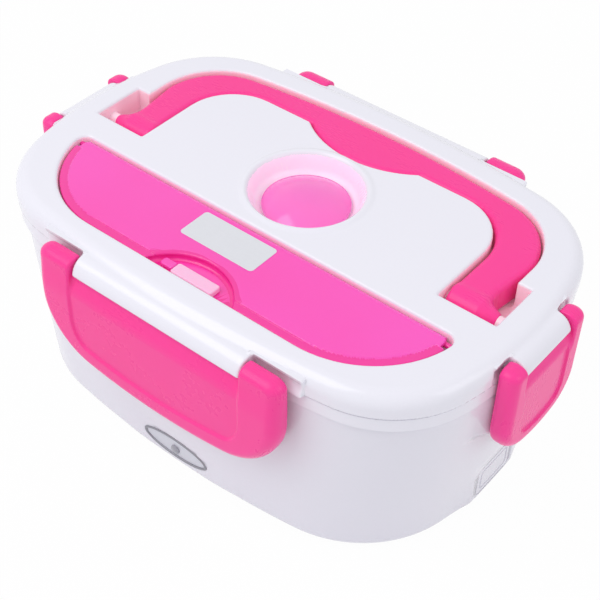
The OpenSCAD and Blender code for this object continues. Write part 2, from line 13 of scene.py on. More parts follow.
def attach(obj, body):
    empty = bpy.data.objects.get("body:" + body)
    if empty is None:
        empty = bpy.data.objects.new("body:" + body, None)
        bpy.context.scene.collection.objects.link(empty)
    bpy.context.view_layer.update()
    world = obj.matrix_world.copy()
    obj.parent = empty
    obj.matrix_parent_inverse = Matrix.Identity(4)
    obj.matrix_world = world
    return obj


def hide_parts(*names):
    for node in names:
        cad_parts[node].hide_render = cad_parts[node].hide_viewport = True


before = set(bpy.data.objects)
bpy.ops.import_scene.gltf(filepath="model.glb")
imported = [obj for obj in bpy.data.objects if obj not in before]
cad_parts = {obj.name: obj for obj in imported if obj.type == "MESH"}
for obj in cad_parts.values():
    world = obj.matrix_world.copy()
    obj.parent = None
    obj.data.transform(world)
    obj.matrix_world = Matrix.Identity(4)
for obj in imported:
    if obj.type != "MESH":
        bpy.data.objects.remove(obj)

LOG = logging.getLogger("lunch_box")
MM = 0.001
TOP = 88.0
SKIRT_LOW = TOP - 9.8
BAND_LOW = TOP - 15.5
POCKET_FLOOR = TOP - 12.5
PIVOT_Z = TOP - 6.0
PIVOT_Y = 71.9
PIVOT_X = 107.1
FLOOR_Z = 1.0
VENT_Y = 8.3
HINGE_Y = 0.5
HINGE_Z = TOP - 6.6
COVER_Y = -23.1
COVER_Z = TOP - 3.2
LAMP_Y = -67.6
LAMP_Z = 9.6
INLET_Z = 12.0
BOW_TURN = 81.96

Grid = np.ndarray
Piece = bpy.types.Object
Tree = bpy.types.NodeTree
Node = bpy.types.ShaderNode
Socket = bpy.types.NodeSocket
Field = Callable[[Grid, Grid, Grid], Grid]
Points = list[tuple[float, float]]
Colour = tuple[float, float, float]

UPRIGHT = Matrix(((1, 0, 0, 0), (0, 0, -1, 0), (0, 1, 0, 0), (0, 0, 0, 1)))
SIDEWAYS = Matrix(((0, 0, 1, 0), (1, 0, 0, 0), (0, 1, 0, 0), (0, 0, 0, 1)))


# Solids as distance fields, negative inside; all lengths in millimetres

def meet(a: Grid, b: Grid, r: float) -> Grid:
    """What lies in both solids.

    Args:
        a: Distance to the first solid.
        b: Distance to the second solid.
        r: Radius of the rounded edge between them.

    Returns:
        Distance to the shared solid.
    """
    return np.minimum(np.maximum(a, b), -r) + np.hypot(np.maximum(a + r, 0.0), np.maximum(b + r, 0.0))


def cut(a: Grid, b: Grid, r: float) -> Grid:
    """The first solid without the second, with a rounded edge of radius r."""
    return meet(a, -b, r)


def join(a: Grid, b: Grid, r: float) -> Grid:
    """Both solids together.

    Args:
        a: Distance to the first solid.
        b: Distance to the second solid.
        r: Radius of the fillet in the corner between them.

    Returns:
        Distance to the joined solid.
    """
    return np.maximum(np.minimum(a, b), r) - np.hypot(np.maximum(r - a, 0.0), np.maximum(r - b, 0.0))


def between(v: Grid, low: float, high: float) -> Grid:
    """Distance to the slab from low to high."""
    return np.abs(v - (low + high) / 2) - (high - low) / 2


def outline_distance(points: Points, x: Grid, y: Grid) -> Grid:
    """Distance to a closed outline in a plane.

    Args:
        points: Corners of the outline in order.
        x: First coordinate of each place.
        y: Second coordinate of each place.

    Returns:
        Distance, negative inside the outline.
    """
    best = np.full(np.broadcast(x, y).shape, 1e9)
    inside = np.zeros(best.shape, dtype=bool)
    for (x0, y0), (x1, y1) in zip(points, points[1:] + points[:1]):
        ex, ey = x1 - x0, y1 - y0
        px, py = x - x0, y - y0
        t = np.clip((px * ex + py * ey) / (ex * ex + ey * ey), 0.0, 1.0)
        best = np.minimum(best, (px - t * ex) ** 2 + (py - t * ey) ** 2)
        if ey:
            inside ^= ((y0 > y) != (y1 > y)) & (px < ex * py / ey)
    return np.where(inside, -1.0, 1.0) * np.sqrt(best)


def arc(centre: tuple[float, float], r: float, start: float, end: float, steps: int) -> Points:
    """Points on an arc, both ends included.

    Args:
        centre: Centre of the arc.
        r: Radius.
        start: First angle in degrees.
        end: Last angle in degrees.
        steps: Number of chords.

    Returns:
        The points in order.
    """
    turns = np.radians(np.linspace(start, end, steps + 1))
    return [(centre[0] + r * math.cos(t), centre[1] + r * math.sin(t)) for t in turns]


def ellipse(centre: tuple[float, float], a: float, b: float, count: int) -> Points:
    """Points on an ellipse with half axes a and b."""
    turns = np.linspace(0, 2 * math.pi, count + 1)[:-1]
    return [(centre[0] + a * math.cos(t), centre[1] + b * math.sin(t)) for t in turns]


def rounded(low: tuple[float, float], high: tuple[float, float], r: float, steps: int) -> Points:
    """Outline of a rectangle with rounded corners.

    Args:
        low: Its lower left corner.
        high: Its upper right corner.
        r: Radius of the corners.
        steps: Chords in each corner.

    Returns:
        The points in order.
    """
    x0, y0, x1, y1 = low[0] + r, low[1] + r, high[0] - r, high[1] - r
    corners = ((x1, y0, 270), (x1, y1, 0), (x0, y1, 90), (x0, y0, 180))
    return [p for cx, cy, a in corners for p in arc((cx, cy), r, a, a + 90, steps)]


@dataclass(frozen=True)
class Oval:
    """Outline with bowed sides: half length, half width, corner radius and the turn of each side's half."""

    length: float
    width: float
    radius: float
    long_turn: float
    short_turn: float

    def centre(self) -> tuple[float, float]:
        """Centre of the corner arc in the first quarter."""
        u = math.tan(math.radians(self.long_turn) / 2)
        v = math.tan(math.radians(self.short_turn) / 2)
        p, q = self.length - self.radius, self.width - self.radius
        return (p - q * v) / (1 - u * v), (q - p * u) / (1 - u * v)

    def side_radii(self) -> tuple[float, float]:
        """Radii of the long sides and of the short sides."""
        cx, cy = self.centre()
        return (self.radius + cx / math.sin(math.radians(self.long_turn)),
                self.radius + cy / math.sin(math.radians(self.short_turn)))

    def distance(self, x: Grid, y: Grid) -> Grid:
        """Distance to the outline, negative inside and exact near the line.

        Args:
            x: First coordinate of each place.
            y: Second coordinate of each place.

        Returns:
            The distances.
        """
        cx, cy = self.centre()
        long_r, short_r = self.side_radii()
        ax, ay = np.abs(x), np.abs(y)
        from_long = ay - (self.width - long_r)
        from_short = ax - (self.length - short_r)
        by_long = np.hypot(ax, from_long) - long_r
        by_short = np.hypot(from_short, ay) - short_r
        by_corner = np.hypot(ax - cx, ay - cy) - self.radius
        on_long = np.arctan2(ax, from_long) < math.radians(self.long_turn)
        on_short = np.arctan2(ay, from_short) < math.radians(self.short_turn)
        return np.where(on_short, by_short, np.where(on_long, by_long, by_corner))

    def ring(self, d: float) -> Grid:
        """The outline moved outwards by d, as points whose order is the same for every outline.

        Args:
            d: Distance from the outline.

        Returns:
            Array of points, anticlockwise.
        """
        cx, cy = self.centre()
        long_r, short_r = self.side_radii()
        quarter = np.concatenate([
            np.linspace(0, self.short_turn, 7)[:-1],
            np.linspace(self.short_turn, 90 - self.long_turn, 19)[:-1],
            np.linspace(90 - self.long_turn, 90, 11)[:-1],
        ])
        first = np.radians(quarter)
        cos, sin = np.cos(first), np.sin(first)
        side = quarter < self.short_turn
        far = quarter >= 90 - self.long_turn
        px = np.where(side, self.length - short_r, np.where(far, 0.0, cx))
        py = np.where(side, 0.0, np.where(far, self.width - long_r, cy))
        r = np.where(side, short_r, np.where(far, long_r, self.radius)) + d
        x, y = px + r * cos, py + r * sin
        top = np.array([[0.0, self.width + d]])
        one = np.stack([x, y], axis=1)
        two = np.concatenate([top, one[:0:-1] * [-1, 1]])
        half = np.concatenate([one, two])
        return np.concatenate([half, -half])


LID_OVAL = Oval(105.5, 70.3, 41.0, 8.5, 14.5)


def spoon_outline(grow: float) -> Points:
    """Outline of the spoon pocket, grown by a distance."""
    tip, belly, turn = 4.0 + grow, 39.9 + grow, 11.25
    return (arc((82.7, -24.5), tip, -turn, 90, 8) + arc((-82.7, -24.5), tip, 90, 180 + turn, 8)
            + arc((-47.5, -17.5), belly, 180 + turn, 270, 18)
            + arc((47.5, -17.5), belly, 270, 360 - turn, 18))


def notch_turn(r: float, drop: float) -> float:
    """Half angle in degrees of the round notch in the island, or of the handle's bump beside it."""
    return math.degrees(math.atan2(math.sqrt(r * r - drop * drop), drop))


def outer_bow(corner: float, back: float) -> Points:
    """Outer line of the bow, from its right leg over the back to its left leg.

    Args:
        corner: Radius of the two corners.
        back: Radius of the slightly bowed back.

    Returns:
        The points in order.
    """
    return (arc((59, 25.46), corner, 0, BOW_TURN, 14)
            + arc((0, -392.4), back, BOW_TURN, 180 - BOW_TURN, 10)[1:-1]
            + arc((-59, 25.46), corner, 180 - BOW_TURN, 180, 14))


def inner_bow(corner: float, bump: float, turn: float) -> Points:
    """Inner line of the bow with its finger bump, from the left leg to the right leg.

    Args:
        corner: Radius of the two corners.
        bump: Radius of the finger bump.
        turn: Half angle of the bump in degrees.

    Returns:
        The points in order.
    """
    return (arc((-47.5, 21), corner, 180, 90, 10) + arc((0, 76.6), bump, 270 - turn, 270 + turn, 16)
            + arc((47.5, 21), corner, 90, 0, 10))


def slot_outline() -> Points:
    """Outline of the handle slot with the finger notch in its island."""
    return ([(69.5, -7.2), (93.0, -7.2), (93.0, 15.3), (87.0, 15.3)] + outer_bow(28, 450)
            + [(-87.0, 15.3), (-93.0, 15.3), (-93.0, -7.2), (-69.5, -7.2)]
            + inner_bow(22, 42.6, notch_turn(42.6, 33.6)))


def bow_outline(grow: float) -> Points:
    """Outline of the carrying handle, grown by a distance."""
    inner, outer = 70.5 - grow, 84 + grow
    return ([(inner, HINGE_Y), (outer, HINGE_Y), (outer, 9.0)] + outer_bow(27.3 + grow, 449.3 + grow)
            + [(-outer, 9.0), (-outer, HINGE_Y), (-inner, HINGE_Y)]
            + inner_bow(23 - grow, 41.6 + grow, notch_turn(41.6 + grow, 32.6 + grow)))


# Mesh making

def put(name: str, data: bpy.types.ID) -> Piece:
    """Make an object of some data and link it to the scene."""
    made = bpy.data.objects.new(name, data)
    bpy.context.collection.objects.link(made)
    return made


def lay(name: str, points: Grid, faces: Sequence[Sequence[int]]) -> Piece:
    """Make a smooth mesh object.

    Args:
        name: Name of the object and its mesh.
        points: Points in millimetres.
        faces: Point numbers of each face.

    Returns:
        The new object, linked to the scene.
    """
    mesh = bpy.data.meshes.new(name)
    mesh.from_pydata((np.asarray(points) * MM).tolist(), [], [list(map(int, f)) for f in faces])
    mesh.validate()
    mesh.polygons.foreach_set("use_smooth", [True] * len(mesh.polygons))
    mesh.update()
    return put(name, mesh)


def surface_net(values: Grid) -> tuple[Grid, Grid]:
    """Surface of a sampled distance field.

    Args:
        values: Distances on a regular grid, negative inside.

    Returns:
        Points in grid steps, and four point numbers for each face.
    """
    inside = values < 0
    nx, ny, nz = (n - 1 for n in values.shape)
    corners = [(i, j, k) for i in (0, 1) for j in (0, 1) for k in (0, 1)]
    count = sum(inside[i:nx + i, j:ny + j, k:nz + k].astype(np.int8) for i, j, k in corners)
    cells = np.argwhere((count > 0) & (count < 8))
    number = np.full((nx, ny, nz), -1, dtype=np.int64)
    number[tuple(cells.T)] = np.arange(len(cells))
    at = {c: values[cells[:, 0] + c[0], cells[:, 1] + c[1], cells[:, 2] + c[2]] for c in corners}
    total, hits = np.zeros((len(cells), 3)), np.zeros(len(cells))
    for a in corners:
        for axis in range(3):
            if a[axis] == 0:
                b = tuple(v + (n == axis) for n, v in enumerate(a))
                crossed = (at[a] < 0) != (at[b] < 0)
                gap = np.where(crossed, at[a] - at[b], 1.0)
                spot = np.tile(np.array(a, float), (len(cells), 1))
                spot[:, axis] += at[a] / gap
                total += spot * crossed[:, None]
                hits += crossed
    points = cells + total / hits[:, None]
    faces = []
    for axis in range(3):
        u, v = (axis + 1) % 3, (axis + 2) % 3
        low = [slice(None)] * 3
        high = [slice(None)] * 3
        low[axis], high[axis] = slice(0, -1), slice(1, None)
        for lane in (u, v):
            low[lane] = high[lane] = slice(1, -1)
        before, after = inside[tuple(low)], inside[tuple(high)]
        for mask, flip in ((before & ~after, False), (~before & after, True)):
            spots = np.argwhere(mask)
            spots[:, [u, v]] += 1
            ring = []
            for du, dv in ((-1, -1), (0, -1), (0, 0), (-1, 0)):
                cell = spots.copy()
                cell[:, u] += du
                cell[:, v] += dv
                ring.append(number[tuple(cell.T)])
            quad = np.stack(ring, axis=1)
            faces.append(quad[:, ::-1] if flip else quad)
    return points, np.concatenate(faces)


def slope(solid: Field, points: Grid) -> tuple[Grid, Grid]:
    """Value and gradient of a field at scattered points.

    Args:
        solid: The field.
        points: Points in millimetres.

    Returns:
        Values, and gradients.
    """
    x, y, z = points.T
    here, h = solid(x, y, z), 0.02
    steps = [solid(x + h, y, z), solid(x, y + h, z), solid(x, y, z + h)]
    return here, np.stack([(v - here) / h for v in steps], axis=1)


@dataclass(frozen=True)
class Mould:
    """A box of space and the step at which a field in it is turned into a mesh."""

    low: tuple[float, float, float]
    high: tuple[float, float, float]
    step: float

    def cast(self, name: str, solid: Field) -> Piece:
        """Make the surface of a solid, with its points on the surface and its true normals.

        Args:
            name: Name of the object.
            solid: Field of the solid.

        Returns:
            The new object.
        """
        axes = [np.arange(a, b + self.step, self.step) for a, b in zip(self.low, self.high)]
        x, y, z = (v.reshape([-1 if n == i else 1 for i in range(3)]) for n, v in enumerate(axes))
        shape = tuple(len(v) for v in axes)
        points, faces = surface_net(np.broadcast_to(solid(x, y, z), shape))
        points = np.array(self.low) + points * self.step
        for _ in range(2):
            value, lean = slope(solid, points)
            steep = np.maximum((lean ** 2).sum(axis=1), 0.3)
            move = np.clip(value / steep, -0.4 * self.step, 0.4 * self.step)
            points = points - lean * move[:, None]
        piece = lay(name, points, faces)
        merge_flats(piece)
        shade(piece, solid)
        return piece


def read(items: bpy.types.bpy_prop_collection, label: str, wide: int = 1, kind: type = float) -> Grid:
    """One property of all vertices, corners or faces of a mesh.

    Args:
        items: The vertices, corners or faces.
        label: Name of the property.
        wide: Numbers that it has for each of them.
        kind: Kind of those numbers.

    Returns:
        Array with a row for each of them, or a plain one where there is one number each.
    """
    values = np.empty(len(items) * wide, dtype=kind)
    items.foreach_get(label, values)
    return values.reshape(-1, wide) if wide > 1 else values


def merge_flats(piece: Piece) -> None:
    """Merge the faces of truly level and upright areas."""
    work = bmesh.new()
    work.from_mesh(piece.data)
    work.normal_update()
    plain = {v for v in work.verts if all(max(abs(c) for c in f.normal) > 0.999998 for f in v.link_faces)}
    edges = [e for e in work.edges if e.verts[0] in plain and e.verts[1] in plain]
    bmesh.ops.dissolve_limit(work, angle_limit=math.radians(0.05), verts=list(plain), edges=edges)
    bmesh.ops.triangulate(work, faces=[f for f in work.faces if len(f.verts) > 4])
    for face in work.faces:
        face.smooth = True
    work.to_mesh(piece.data)
    work.free()


def shade(piece: Piece, solid: Field) -> None:
    """Give each corner of a mesh the solid's own normal, or the face's where a crease parts the two.

    Args:
        piece: The piece.
        solid: Field of its solid.
    """
    mesh, h = piece.data, 0.05
    x, y, z = read(mesh.vertices, "co", 3).T / MM
    corners = read(mesh.loops, "vertex_index", kind=int)
    counts = read(mesh.polygons, "loop_total", kind=int)
    sides = [solid(x + h, y, z) - solid(x - h, y, z), solid(x, y + h, z) - solid(x, y - h, z),
             solid(x, y, z + h) - solid(x, y, z - h)]
    lean = np.stack(sides, axis=1)
    lean /= np.maximum(np.linalg.norm(lean, axis=1), 1e-6)[:, None]
    flat = np.repeat(read(mesh.polygons, "normal", 3), counts, axis=0)
    lean = lean[corners]
    close = (flat * lean).sum(axis=1) > 0.7
    mesh.normals_split_custom_set(np.where(close[:, None], lean, flat).tolist())


def weigh_normals(piece: Piece) -> None:
    """Let large faces lead the shading of the edges beside them."""
    weigh = piece.modifiers.new("area_normals", "WEIGHTED_NORMAL")
    weigh.mode = "FACE_AREA"
    weigh.weight = 60


def bake_modifiers(piece: Piece) -> None:
    """Replace a piece's mesh by the result of its modifiers."""
    bpy.context.view_layer.update()
    mesh = bpy.data.meshes.new_from_object(piece.evaluated_get(bpy.context.evaluated_depsgraph_get()))
    piece.modifiers.clear()
    piece.data = mesh


def carve(piece: Piece, cutters: Sequence[Piece]) -> None:
    """Cut closed shapes out of a piece and remove them.

    Args:
        piece: Closed mesh to cut.
        cutters: Closed meshes to take away.
    """
    for cutter in cutters:
        trim = piece.modifiers.new("carve", "BOOLEAN")
        trim.operation, trim.solver, trim.object = "DIFFERENCE", "EXACT", cutter
    bake_modifiers(piece)
    for cutter in cutters:
        bpy.data.objects.remove(cutter)


def prism(name: str, points: Points, low: float, high: float, place: Matrix) -> Piece:
    """Closed prism over an outline.

    Args:
        name: Name of the object.
        points: Outline in millimetres, anticlockwise.
        low: Lower end.
        high: Upper end.
        place: Where the drawing plane lies.

    Returns:
        The new object.
    """
    n = len(points)
    ends = [place @ Vector((x, y, z)) for z in (low, high) for x, y in points]
    faces = [list(range(n))[::-1], list(range(n, 2 * n))]
    faces += [[i, (i + 1) % n, n + (i + 1) % n, n + i] for i in range(n)]
    return lay(name, np.array(ends), faces)


def tube(rings: Sequence[Grid]) -> tuple[Grid, list[list[int]]]:
    """Faces between closed rings that follow each other round a closed section.

    Args:
        rings: Rings with the same number of points.

    Returns:
        All points, and the faces.
    """
    n, m = len(rings[0]), len(rings)
    faces = [[k * n + i, k * n + (i + 1) % n, (k + 1) % m * n + (i + 1) % n, (k + 1) % m * n + i]
             for k in range(m) for i in range(n)]
    return np.concatenate(rings), faces


def lathe(name: str, section: Points, centre: tuple[float, float], segments: int = 128) -> Piece:
    """Body of revolution about an upright axis.

    Args:
        name: Name of the object.
        section: Points as radius and height; a radius of zero closes the body on the axis.
        centre: Place of the axis.
        segments: Number of steps round the axis.

    Returns:
        The new object.
    """
    turns = np.linspace(0, 2 * math.pi, segments, endpoint=False)
    points, rows = [], []
    for r, z in section:
        if r < 1e-6:
            rows.append([len(points)] * segments)
            points.append((centre[0], centre[1], z))
        else:
            rows.append(list(range(len(points), len(points) + segments)))
            points += [(centre[0] + r * math.cos(t), centre[1] + r * math.sin(t), z) for t in turns]
    closed = section[0][0] > 1e-6
    faces = []
    for k in range(len(rows) if closed else len(rows) - 1):
        lower, upper = rows[k], rows[(k + 1) % len(rows)]
        for i in range(segments):
            j = (i + 1) % segments
            face = [lower[i], lower[j], upper[j], upper[i]]
            faces.append([v for n, v in enumerate(face) if v not in face[:n]])
    return lay(name, np.array(points), faces)


# Shader groups and finishes

def new_group(name: str, inputs: dict[str, tuple[str, object]],
              outputs: dict[str, str]) -> Tree:
    """Make an empty shader node group.

    Args:
        name: Name of the group.
        inputs: Socket kind and default of each input.
        outputs: Socket kind of each output.

    Returns:
        The group with its two end nodes.
    """
    group = bpy.data.node_groups.new(name, "ShaderNodeTree")
    for label, (kind, value) in inputs.items():
        socket = group.interface.new_socket(label, in_out="INPUT", socket_type=kind)
        socket.default_value = value
    for label, kind in outputs.items():
        group.interface.new_socket(label, in_out="OUTPUT", socket_type=kind)
    group.nodes.new("NodeGroupInput").name = "In"
    group.nodes.new("NodeGroupOutput").name = "Out"
    return group


def fill(node: Node, values: dict[str, object]) -> None:
    """Set the values of a node's inputs."""
    for label, value in values.items():
        node.inputs[label].default_value = value


def scaled(tree: Tree, value: Socket, share: Socket,
           rest: Socket | float) -> Socket:
    """Add a node that multiplies a value by a share and adds the rest.

    Args:
        tree: Tree to add to.
        value: What is multiplied.
        share: What it is multiplied by.
        rest: What is added.

    Returns:
        The result.
    """
    node = tree.nodes.new("ShaderNodeMath")
    node.operation = "MULTIPLY_ADD"
    tree.links.new(value, node.inputs[0])
    tree.links.new(share, node.inputs[1])
    if isinstance(rest, float):
        node.inputs[2].default_value = rest
    else:
        tree.links.new(rest, node.inputs[2])
    return node.outputs[0]


def noise(tree: Tree, scale: float, detail: float,
          stretch: tuple[float, float, float] = (1, 1, 1)) -> Node:
    """Noise in the object's own coordinates.

    Args:
        tree: Tree to add to.
        scale: Noise cells per metre.
        detail: Octaves.
        stretch: Scale along each axis.

    Returns:
        The noise node.
    """
    place = tree.nodes.new("ShaderNodeTexCoord")
    fit = tree.nodes.new("ShaderNodeMapping")
    fill(fit, {"Scale": stretch})
    grain = tree.nodes.new("ShaderNodeTexNoise")
    fill(grain, {"Scale": scale, "Detail": detail})
    tree.links.new(place.outputs["Object"], fit.inputs["Vector"])
    tree.links.new(fit.outputs["Vector"], grain.inputs["Vector"])
    return grain


def tone_group() -> Tree:
    """Colour that drifts softly between two tones, with fine mottle.

    Returns:
        The group.
    """
    group = new_group("tone_drift", {
        "Tone": ("NodeSocketColor", (1, 1, 1, 1)), "Far Tone": ("NodeSocketColor", (1, 1, 1, 1)),
        "Drift Scale": ("NodeSocketFloat", 14.0), "Mottle": ("NodeSocketFloat", 0.03),
    }, {"Colour": "NodeSocketColor"})
    given, link = group.nodes["In"].outputs, group.links.new
    drift = noise(group, 14.0, 2.0)
    link(given["Drift Scale"], drift.inputs["Scale"])
    blend = group.nodes.new("ShaderNodeMix")
    blend.data_type = "RGBA"
    link(drift.outputs["Fac"], blend.inputs["Factor"])
    link(given["Tone"], blend.inputs["A"])
    link(given["Far Tone"], blend.inputs["B"])
    amount = scaled(group, noise(group, 900.0, 3.0).outputs["Fac"], given["Mottle"], 1.0)
    dimmed = group.nodes.new("ShaderNodeVectorMath")
    dimmed.operation = "SCALE"
    link(blend.outputs["Result"], dimmed.inputs[0])
    link(amount, dimmed.inputs["Scale"])
    link(dimmed.outputs["Vector"], group.nodes["Out"].inputs["Colour"])
    return group


def haze_group() -> Tree:
    """Roughness with handling haze and fine scuffs.

    Returns:
        The group.
    """
    group = new_group("handling_haze", {
        "Polish": ("NodeSocketFloat", 0.2),
        "Haze": ("NodeSocketFloat", 0.1),
        "Scuffs": ("NodeSocketFloat", 0.05),
    }, {"Roughness": "NodeSocketFloat"})
    given = group.nodes["In"].outputs
    smear = noise(group, 45.0, 3.0, (1, 1.6, 1)).outputs["Fac"]
    scuff = noise(group, 320.0, 4.0, (1, 6, 1)).outputs["Fac"]
    hazed = scaled(group, smear, given["Haze"], given["Polish"])
    scuffed = scaled(group, scuff, given["Scuffs"], hazed)
    group.links.new(scuffed, group.nodes["Out"].inputs["Roughness"])
    return group


def grain_group() -> Tree:
    """Height of the moulded skin: fine grain over slow flow waves.

    Returns:
        The group.
    """
    group = new_group("moulded_skin", {
        "Grain": ("NodeSocketFloat", 0.5),
        "Flow": ("NodeSocketFloat", 0.5),
    }, {"Height": "NodeSocketFloat"})
    given = group.nodes["In"].outputs
    fine = noise(group, 2400.0, 2.0).outputs["Fac"]
    slow = noise(group, 60.0, 1.0, (1, 1, 0.5)).outputs["Fac"]
    grained = scaled(group, fine, given["Grain"], 0.0)
    waved = scaled(group, slow, given["Flow"], grained)
    group.links.new(waved, group.nodes["Out"].inputs["Height"])
    return group


@dataclass(frozen=True)
class Finish:
    """A surface finish and its values."""

    name: str
    tone: Colour
    far_tone: Colour
    polish: float = 0.18
    haze: float = 0.08
    scuffs: float = 0.04
    mottle: float = 0.02
    drift: float = 12.0
    grain: float = 0.3
    flow: float = 0.4
    bump: float = 0.02
    metal: float = 0.0
    coat: float = 0.0
    bleed: float = 0.0
    # Emission strength; used only to paint glow on surfaces that are no lamp.
    glow: float = 0.0
    shine: float = 0.5

    def build(self, groups: dict[str, Tree]) -> bpy.types.Material:
        """Make the material.

        Args:
            groups: The shared shader groups by name.

        Returns:
            The new material.
        """
        material = bpy.data.materials.new(self.name)
        material.use_nodes = True
        tree = material.node_tree
        shader = tree.nodes["Principled BSDF"]
        fill(shader, {
            "Metallic": self.metal, "Coat Weight": self.coat, "Coat Roughness": 0.08,
            "Subsurface Weight": self.bleed, "Subsurface Radius": (1.0, 0.6, 0.7), "Subsurface Scale": 0.003,
            "IOR": 1.47, "Specular IOR Level": self.shine,
        })
        tone = self.placed(tree, groups["tone_drift"], {
            "Tone": (*self.tone, 1), "Far Tone": (*self.far_tone, 1),
            "Drift Scale": self.drift, "Mottle": self.mottle,
        })
        tree.links.new(tone.outputs["Colour"], shader.inputs["Base Color"])
        # Painted glow: the surface gives off its own colour as light.
        if self.glow:
            tree.links.new(tone.outputs["Colour"], shader.inputs["Emission Color"])
            fill(shader, {"Emission Strength": self.glow})
        haze = self.placed(tree, groups["handling_haze"], {
            "Polish": self.polish, "Haze": self.haze, "Scuffs": self.scuffs,
        })
        tree.links.new(haze.outputs["Roughness"], shader.inputs["Roughness"])
        skin = self.placed(tree, groups["moulded_skin"], {"Grain": self.grain, "Flow": self.flow})
        raised = tree.nodes.new("ShaderNodeBump")
        fill(raised, {"Strength": self.bump, "Distance": 0.001})
        tree.links.new(skin.outputs["Height"], raised.inputs["Height"])
        tree.links.new(raised.outputs["Normal"], shader.inputs["Normal"])
        return material

    @staticmethod
    def placed(tree: Tree, group: Tree,
               values: dict[str, object]) -> Node:
        """Put a shared group into a material's tree and set its inputs."""
        node = tree.nodes.new("ShaderNodeGroup")
        node.node_tree = group
        fill(node, values)
        return node


class Slot(Enum):
    """Material slots of the record and the finish that each one takes."""

    white_shell = Finish("gloss_white", (0.83, 0.83, 0.91), (0.85, 0.84, 0.92),
                         polish=0.16, haze=0.06, coat=0.15)
    white_inner = Finish("satin_white", (0.80, 0.80, 0.82), (0.84, 0.84, 0.85), polish=0.32, grain=0.6)
    pink_plastic = Finish("rose_plastic", (0.97, 0.045, 0.30), (1.0, 0.065, 0.36),
                          polish=0.22, haze=0.08, shine=0.3, bleed=0.1)
    cover_plastic = Finish("magenta_clear", (0.96, 0.055, 0.40), (1.0, 0.09, 0.62),
                           polish=0.14, haze=0.05, drift=11.0, coat=0.3, bleed=0.1)
    plug_plastic = Finish("orchid_clear", (1.0, 0.15, 0.56), (1.0, 0.19, 0.62),
                          polish=0.12, haze=0.05, coat=0.4, bleed=0.3)
    tongue_plastic = Finish("blush_clear", (1.0, 0.5, 0.74), (1.0, 0.58, 0.8), polish=0.2, bleed=0.3)
    dish_plastic = Finish("pale_rose", (0.96, 0.45, 0.62), (0.98, 0.5, 0.66), polish=0.25)
    silicone = Finish("milky_silicone", (0.74, 0.74, 0.72), (0.8, 0.8, 0.78),
                      polish=0.5, bleed=0.3, grain=0.6)
    black_rubber = Finish("black_rubber", (0.025, 0.025, 0.028), (0.04, 0.04, 0.043),
                          polish=0.62, grain=1.0, bump=0.2)
    black_plastic = Finish("black_plastic", (0.02, 0.02, 0.022), (0.03, 0.03, 0.032),
                           polish=0.38, grain=1.0, bump=0.1)
    silver_panel = Finish("silver_film", (0.58, 0.6, 0.66), (0.64, 0.66, 0.72),
                          polish=0.3, metal=0.35, grain=0.8)
    clear_lens = Finish("smoke_lens", (0.32, 0.33, 0.38), (0.36, 0.37, 0.42), polish=0.08, coat=0.5)
    board = Finish("board_green", (0.03, 0.2, 0.09), (0.04, 0.26, 0.12), polish=0.4, mottle=0.2)
    steel = Finish("bright_steel", (0.62, 0.63, 0.65), (0.7, 0.7, 0.72),
                   polish=0.22, metal=1.0, grain=0.8)
    alloy = Finish("cast_alloy", (0.66, 0.67, 0.69), (0.74, 0.75, 0.77),
                   polish=0.36, metal=1.0, grain=1.5, bump=0.15)
    brass = Finish("brass", (0.72, 0.5, 0.2), (0.8, 0.58, 0.26), polish=0.25, metal=1.0)
    ceramic = Finish("ceramic", (0.62, 0.58, 0.46), (0.7, 0.66, 0.54),
                     polish=0.55, mottle=0.2, grain=1.0, bump=0.2)
    insulation = Finish("lead_sleeve", (0.66, 0.67, 0.69), (0.72, 0.73, 0.75), polish=0.45)


class Extra(Enum):
    """Finishes of pieces that differ from their slot's own, some with painted light or shade."""

    label_film = Finish("label_film", (0.68, 0.69, 0.74), (0.76, 0.77, 0.81),
                        polish=0.34, metal=0.25, grain=0.7, mottle=0.05)
    # Painted light: pink bounce from the dome, and a glow that lifts the shade in the vent cup.
    cup_blush = Finish("cup_blush", (0.98, 0.74, 0.90), (1.0, 0.79, 0.93),
                       polish=0.2, bleed=0.4, glow=0.12)
    # Painted light: pink bounce from the handle and cover on the pocket walls, with a faint glow.
    slot_blush = Finish("slot_blush", (0.98, 0.70, 0.80), (1.0, 0.78, 0.86),
                        polish=0.3, bleed=0.2, glow=0.05)
    # Painted shade: a darker copy of the cover's magenta for its front rim, the arch edge and the cover pins.
    cover_rim = Finish("cover_rim", (0.88, 0.02, 0.30), (0.93, 0.035, 0.40),
                       polish=0.16, haze=0.05, coat=0.3)
    # Painted shade: a darker copy of the gloss white, standing in for the shade on the base's sides; the
    # inlet body takes it too.
    base_white = Finish("base_white", (0.78, 0.775, 0.86), (0.81, 0.80, 0.88),
                        polish=0.18, haze=0.06, coat=0.15)
    lamp_plate = Finish("lamp_plate", (0.62, 0.63, 0.70), (0.68, 0.69, 0.76),
                        polish=0.3, metal=0.3, grain=0.6)
    ring_grey = Finish("ring_grey", (0.26, 0.26, 0.30), (0.31, 0.31, 0.35), polish=0.3, metal=0.5)


